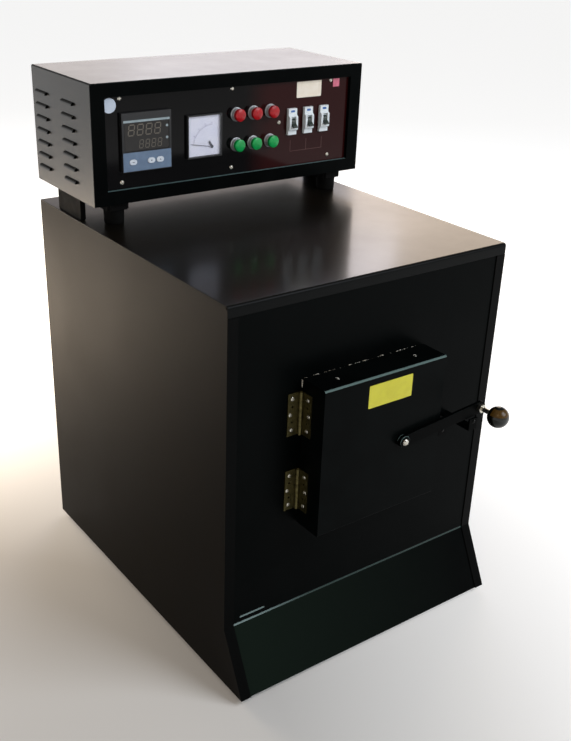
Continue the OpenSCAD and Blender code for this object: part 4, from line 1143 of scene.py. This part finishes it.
@dataclass
class ControllerDress:
    """Display digits, lamps and key marks of the temperature controller.

    Attributes:
        rows: The two rows of digits.
        strip_share: Length of the silver strip as a share of the case's width.
        strip_h: Its height.
        strip_rise: Its middle above the window.
        strip_corner: Radius of its corners.
        dot_drops: Places of the pilot dots down the window, as shares of its height.
        dot_inset: Their middle from the window's right edge.
        dot_size: Their width and height.
        dot_corner: Radius of their corners.
        bar_size: Width and height of the bar on the left key.
        bar_corner: Radius of its corners.
        bar_steps: Segments round one of them.
        arrow_r: Half width and half height of the arrowheads on the other keys.
    """

    rows: tuple[DigitRow, ...] = (
        DigitRow(-0.05, 11.5 * MM, True, 15.5 * MM, 11.5 * MM, 18 * MM),
        DigitRow(0.08, 10.5 * MM, False, 11 * MM, 7.5 * MM, 13.5 * MM),
    )
    strip_share: float = 0.93
    strip_h: float = 3.4 * MM
    strip_rise: float = 2.2 * MM
    strip_corner: float = 0.6 * MM
    dot_drops: tuple[float, float] = (0.2, 0.62)
    dot_inset: float = 3.5 * MM
    dot_size: tuple[float, float] = (4.4 * MM, 4 * MM)
    dot_corner: float = 1.9 * MM
    bar_size: tuple[float, float] = (3.6 * MM, 1.0 * MM)
    bar_corner: float = 0.3 * MM
    bar_steps: int = 2
    arrow_r: tuple[float, float] = (2 * MM, 1.6 * MM)

    def build(self) -> None:
        """Makes the digits, the dots, the strip above the display and the marks on the keys."""
        mesh = bmesh.new()
        for row in self.rows:
            row.draw(mesh, *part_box("controller_window"))
        place_piece(mesh_object("display_digits", mesh), SEGMENT, Body.FURNACE)
        self.trim()
        for number, turn in ((1, None), (2, 270), (3, 90)):
            self.mark(number, turn)

    def trim(self) -> None:
        """Adds the silver strip over the window and the two pilot dots in it."""
        low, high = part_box("controller_case")
        base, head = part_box("controller_window")
        mesh = bmesh.new()
        centre = ((low.x + high.x) / 2, head.z + self.strip_rise)
        length = (high.x - low.x) * self.strip_share
        strip = rounded(*centre, length, self.strip_h, self.strip_corner)
        add_plate(mesh, strip, low.y, THICK_INK_T)
        for drop in self.dot_drops:
            dot_z = head.z + (base.z - head.z) * drop
            dot = rounded(head.x - self.dot_inset, dot_z, *self.dot_size, self.dot_corner)
            add_plate(mesh, dot, base.y, THICK_INK_T)
        place_piece(mesh_object("controller_trim", mesh), TRIM, Body.FURNACE)

    def mark(self, number: int, turn: float | None) -> None:
        """Prints a bar or an arrowhead on a key.

        Args:
            number: The key's number.
            turn: Direction of the arrowhead in degrees, or none for a bar.
        """
        name = f"key_{number}"
        at, face = middle(name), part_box(name)[0].y
        outline = rounded(at.x, at.z, *self.bar_size, self.bar_corner, self.bar_steps)
        if turn is not None:
            wide, tall = self.arrow_r
            angles = [math.radians(turn + 120 * i) for i in range(3)]
            outline = [(at.x + wide * math.cos(a), at.z + tall * math.sin(a)) for a in angles]
        mesh = bmesh.new()
        add_plate(mesh, outline, face, THICK_INK_T)
        place_piece(mesh_object(f"{name}_mark", mesh), KEY_PRINT, KEY_BODIES[number])


@dataclass
class MeterDress:
    """The dial's printed scale.

    Attributes:
        arc_r: Radius of the scale from the needle's pivot.
        arc_w: Width of the thin arc below the marks.
        arc_steps: Segments of that arc.
        start_deg: Angle of the scale's first mark, from the left.
        sweep_deg: Angle that the scale covers.
        marks: Number of divisions.
        main_every: Divisions from one main mark to the next.
        main_mark: Length and half width of a main mark.
        small_mark: Length and half width of the marks between.
    """

    arc_r: float = 36 * MM
    arc_w: float = 0.5 * MM
    arc_steps: int = 40
    start_deg: float = 10
    sweep_deg: float = 80
    marks: int = 20
    main_every: int = 5
    main_mark: tuple[float, float] = (5.0 * MM, 0.45 * MM)
    small_mark: tuple[float, float] = (2.6 * MM, 0.22 * MM)

    def build(self) -> None:
        """Draws the scale with its marks."""
        joint = next(j for j in frame["joints"] if j["child"] == "needle")
        pivot = Vector(joint["pos_m"])
        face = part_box("meter_dial")[0].y
        mesh = bmesh.new()
        for i in range(self.marks + 1):
            size = self.small_mark if i % self.main_every else self.main_mark
            self.mark(mesh, pivot, self.angle(i / self.marks), size, face)
        turns = [self.angle(i / self.arc_steps) for i in range(self.arc_steps + 1)]
        inner = [polar(pivot.x, pivot.z, self.arc_r - self.arc_w, a) for a in turns]
        outer = [polar(pivot.x, pivot.z, self.arc_r, a) for a in turns]
        add_plate(mesh, inner + outer[::-1], face, INK_T)
        place_piece(mesh_object("meter_scale", mesh), SCALE_PRINT, Body.FURNACE)

    def angle(self, share: float) -> float:
        """Returns the direction from the pivot at a share of the scale."""
        return math.radians(180 - self.start_deg - self.sweep_deg * share)

    def mark(
        self, mesh: bmesh.types.BMesh, pivot: Vector, angle: float, size: tuple[float, float], face: float
    ) -> None:
        """Adds one scale mark.

        Args:
            mesh: The bmesh that gets it.
            pivot: The needle's pivot.
            angle: Direction from the pivot.
            size: Length and half width of the mark.
            face: The dial's face.
        """
        length, half = size
        along = Vector((math.cos(angle), math.sin(angle)))
        across = Vector((-along.y, along.x)) * half
        near, far = along * self.arc_r, along * (self.arc_r + length)
        flat = (near - across, far - across, far + across, near + across)
        add_plate(mesh, [(pivot.x + p.x, pivot.z + p.y) for p in flat], face, INK_T)


@dataclass
class BreakerDress:
    """Printed marks on the breakers' noses.

    Attributes:
        mark_w: Width of the blue mark.
        mark_h: Height of the blue mark.
        mark_rise: Its middle above the middle of the toggles.
        mark_corner: Radius of its corners.
        nose_step: How far the nose stands before the shoulder.
    """

    mark_w: float = 8 * MM
    mark_h: float = 3.6 * MM
    mark_rise: float = 20 * MM
    mark_corner: float = 0.8 * MM
    nose_step: float = 4 * MM

    def build(self) -> None:
        """Makes a blue mark on the shoulder above each nose."""
        mesh = bmesh.new()
        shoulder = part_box("breaker_bodies")[0].y + self.nose_step
        height = middle("toggle_2").z + self.mark_rise
        for x in breaker_places():
            outline = rounded(x, height, self.mark_w, self.mark_h, self.mark_corner)
            add_plate(mesh, outline, shoulder, THICK_INK_T)
        place_piece(mesh_object("breaker_marks", mesh), BLUE_PRINT, Body.FURNACE)


@dataclass(frozen=True)
class SoftBox:
    """A rectangular lamp.

    Attributes:
        name: The lamp's name.
        place: Where it hangs.
        target: The point it faces.
        width: Its width.
        height: Its height.
        power: Its power in watts.
        colour: Its sRGB colour.
        in_gloss: Whether it is mirrored in gloss.
    """

    name: str
    place: tuple[float, float, float]
    target: tuple[float, float, float]
    width: float
    height: float
    power: float
    colour: str
    in_gloss: bool = True

    def hang(self) -> None:
        """Puts the lamp in the scene."""
        data = bpy.data.lights.new(self.name, "AREA")
        data.shape = "RECTANGLE"
        data.size, data.size_y = self.width, self.height
        data.energy = self.power
        data.color = linear(self.colour)[:3]
        lamp = bpy.data.objects.new(self.name, data)
        lamp.location = self.place
        towards = Vector(self.target) - Vector(self.place)
        lamp.rotation_euler = towards.to_track_quat("-Z", "Y").to_euler()
        lamp.visible_camera = False
        lamp.visible_glossy = self.in_gloss
        bpy.context.scene.collection.objects.link(lamp)


LAMPS = (
    SoftBox("window right", (2.55, 1.9, 1.5), (0.1, 0.0, 0.65), 1.2, 1.2, 15, "#ffe8d0"),
    SoftBox("skylight strip", (1.6, 2.8, 1.34), (0.0, 0.2, 0.86), 2.2, 0.35, 2.5, "#ffeae2"),
    # Lights a pool of floor that the casing's left side mirrors towards its back
    SoftBox("pool behind left", (-0.5, 1.8, 0.5), (-0.5, 1.8, 0.0), 0.8, 1.5, 56, "#ffe8cc", False),
    SoftBox("soft back", (1.9, 2.7, 2.1), (0.0, 0.0, 0.5), 1.4, 0.8, 14, "#e6ebff"),
    SoftBox("soft front", (1.5, -2.3, 2.5), (0.0, 0.0, 0.6), 2.0, 2.0, 70, "#f4f8ff"),
    SoftBox("soft left", (-1.9, -1.7, 2.6), (-0.2, 0.0, 0.7), 1.2, 1.2, 8, "#ffdcb0"),
)


@dataclass
class Studio:
    """Pale floor, soft lights and a camera at the photograph's angle.

    Attributes:
        frame_px: Width and height of the picture.
        focal_px: Focal length in pixels.
        centre_px: Principal point in pixels.
        yaw_deg: Turn of the view to the right.
        pitch_deg: Downward tilt of the view.
        roll_deg: Roll of the camera.
        eye: Place of the camera.
        sensor_mm: Film width that the longer side of the picture takes.
        clip: Nearest and farthest distance that the camera sees.
        floor_half: Half the floor's side.
        dim_spot: Middle of the part of the floor that stays dim, so that the casing's side stays black.
        dim_reach: Distances from it at which the floor's glow starts to grow and is full.
        floor_glow: Strength of that glow at the spot and far from it.
        horizon_top: Rise of the view at which the white horizon starts to fade.
        sky_start: Rise of the view at which the dim room starts.
        sky_glow: Strength of the world at the horizon and above it.
    """

    frame_px: tuple[int, int] = (571, 741)
    focal_px: float = 997.3
    centre_px: tuple[float, float] = (277.0, 373.5)
    yaw_deg: float = 36.64
    pitch_deg: float = 25.38
    roll_deg: float = 2.01
    eye: tuple[float, float, float] = (-0.9339, -1.2669, 1.1272)
    sensor_mm: float = 36.0
    clip: tuple[float, float] = (0.05, 50.0)
    floor_half: float = 12.0
    dim_spot: tuple[float, float, float] = (-0.8, -0.2, 0.0)
    dim_reach: tuple[float, float] = (0.6, 1.7)
    floor_glow: tuple[float, float] = (0.04, 0.75)
    horizon_top: float = 0.17
    sky_start: float = 0.27
    sky_glow: tuple[float, float] = (1.0, 0.16)

    def build(self) -> None:
        """Makes the camera, the floor, the world and the lamps."""
        self.camera()
        self.floor()
        self.world()
        for lamp in LAMPS:
            lamp.hang()
        bpy.context.scene.view_settings.view_transform = "Standard"

    def camera(self) -> None:
        """Sets the camera from the solved view."""
        yaw, pitch, roll = (math.radians(a) for a in (self.yaw_deg, self.pitch_deg, self.roll_deg))
        reach = math.cos(pitch)
        forward = Vector((math.sin(yaw) * reach, math.cos(yaw) * reach, -math.sin(pitch)))
        level = Vector((math.cos(yaw), -math.sin(yaw), 0.0))
        rise = level.cross(forward)
        right = level * math.cos(roll) + rise * math.sin(roll)
        up = rise * math.cos(roll) - level * math.sin(roll)
        long_side = max(self.frame_px)
        data = bpy.data.cameras.new("camera")
        data.sensor_width = self.sensor_mm
        data.lens = self.focal_px * self.sensor_mm / long_side
        data.shift_x = (self.frame_px[0] / 2 - self.centre_px[0]) / long_side
        data.shift_y = (self.centre_px[1] - self.frame_px[1] / 2) / long_side
        data.clip_start, data.clip_end = self.clip
        camera = bpy.data.objects.new("camera", data)
        turn = Matrix((right, up, -forward)).transposed().to_4x4()
        camera.matrix_world = Matrix.Translation(self.eye) @ turn
        bpy.context.scene.collection.objects.link(camera)
        bpy.context.scene.camera = camera

    def seen(self, tree: bpy.types.NodeTree) -> bpy.types.NodeSocket:
        """Returns one for rays from the camera and for those that gloss or glass sends on."""
        path = add_node(tree, "ShaderNodeLightPath").outputs
        plain = {0: path["Is Camera Ray"], 1: path["Is Glossy Ray"]}
        either = add_node(tree, "ShaderNodeMath", plain, operation="MAXIMUM").outputs[0]
        through = {0: either, 1: path["Is Transmission Ray"]}
        return add_node(tree, "ShaderNodeMath", through, operation="MAXIMUM").outputs[0]

    def floor(self) -> None:
        """Lays a wide pale floor that keeps the furnace's shadow."""
        half = self.floor_half
        mesh = bmesh.new()
        corners = ((-half, -half), (half, -half), (half, half), (-half, half))
        mesh.faces.new([mesh.verts.new((x, y, 0.0)) for x, y in corners])
        piece = mesh_object("studio_floor", mesh)
        material = bpy.data.materials.new("Pale studio floor")
        material.use_nodes = True
        tree = material.node_tree
        tree.nodes.clear()
        seen = self.seen(tree)
        at = add_node(tree, "ShaderNodeTexCoord").outputs["Object"]
        dim = {0: at, 1: self.dim_spot}
        away = add_node(tree, "ShaderNodeVectorMath", dim, operation="DISTANCE").outputs["Value"]
        reach = {"From Min": self.dim_reach[0], "From Max": self.dim_reach[1]}
        reach |= {"To Min": self.floor_glow[0], "To Max": self.floor_glow[1]}
        rise = add_node(tree, "ShaderNodeMapRange", {"Value": away, **reach}).outputs["Result"]
        lift = add_node(tree, "ShaderNodeMath", {0: seen, 1: rise}, operation="MULTIPLY").outputs[0]
        glow = add_node(tree, "ShaderNodeEmission", {"Color": linear("#ffffff"), "Strength": lift})
        matte = add_node(tree, "ShaderNodeBsdfDiffuse", {"Color": linear("#e4e3e0")})
        both = add_node(tree, "ShaderNodeAddShader", {0: matte.outputs[0], 1: glow.outputs[0]})
        add_node(tree, "ShaderNodeOutputMaterial", {"Surface": both.outputs[0]})
        piece.data.materials.append(material)

    def world(self) -> None:
        """Makes a backdrop that is white up to a little over the horizon and a dim room above that."""
        world = bpy.data.worlds.new("studio")
        bpy.context.scene.world = world
        world.use_nodes = True
        tree = world.node_tree
        tree.nodes.clear()
        towards = add_node(tree, "ShaderNodeTexCoord").outputs["Generated"]
        rise = add_node(tree, "ShaderNodeSeparateXYZ", {0: towards}).outputs["Z"]
        band = {"From Min": self.horizon_top, "From Max": self.sky_start}
        band |= {"To Min": self.sky_glow[0], "To Max": self.sky_glow[1]}
        strength = add_node(tree, "ShaderNodeMapRange", {"Value": rise, **band}).outputs[0]
        sky = add_node(tree, "ShaderNodeBackground", {"Color": linear("#ffffff"), "Strength": strength})
        add_node(tree, "ShaderNodeOutputWorld", {"Surface": sky.outputs[0]})


def main() -> None:
    """Dresses the furnace, lights it and keeps its sizes."""
    logging.basicConfig(level=logging.INFO, format="%(name)s: %(message)s")
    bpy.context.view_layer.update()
    front = (DoorDress, FoldDress, HeaterDress)
    control_box = (PanelDress, ControllerDress, MeterDress, BreakerDress)
    for part in (CadDress, *front, *control_box, Studio):
        part().build()


if __name__ == "__main__":
    main()
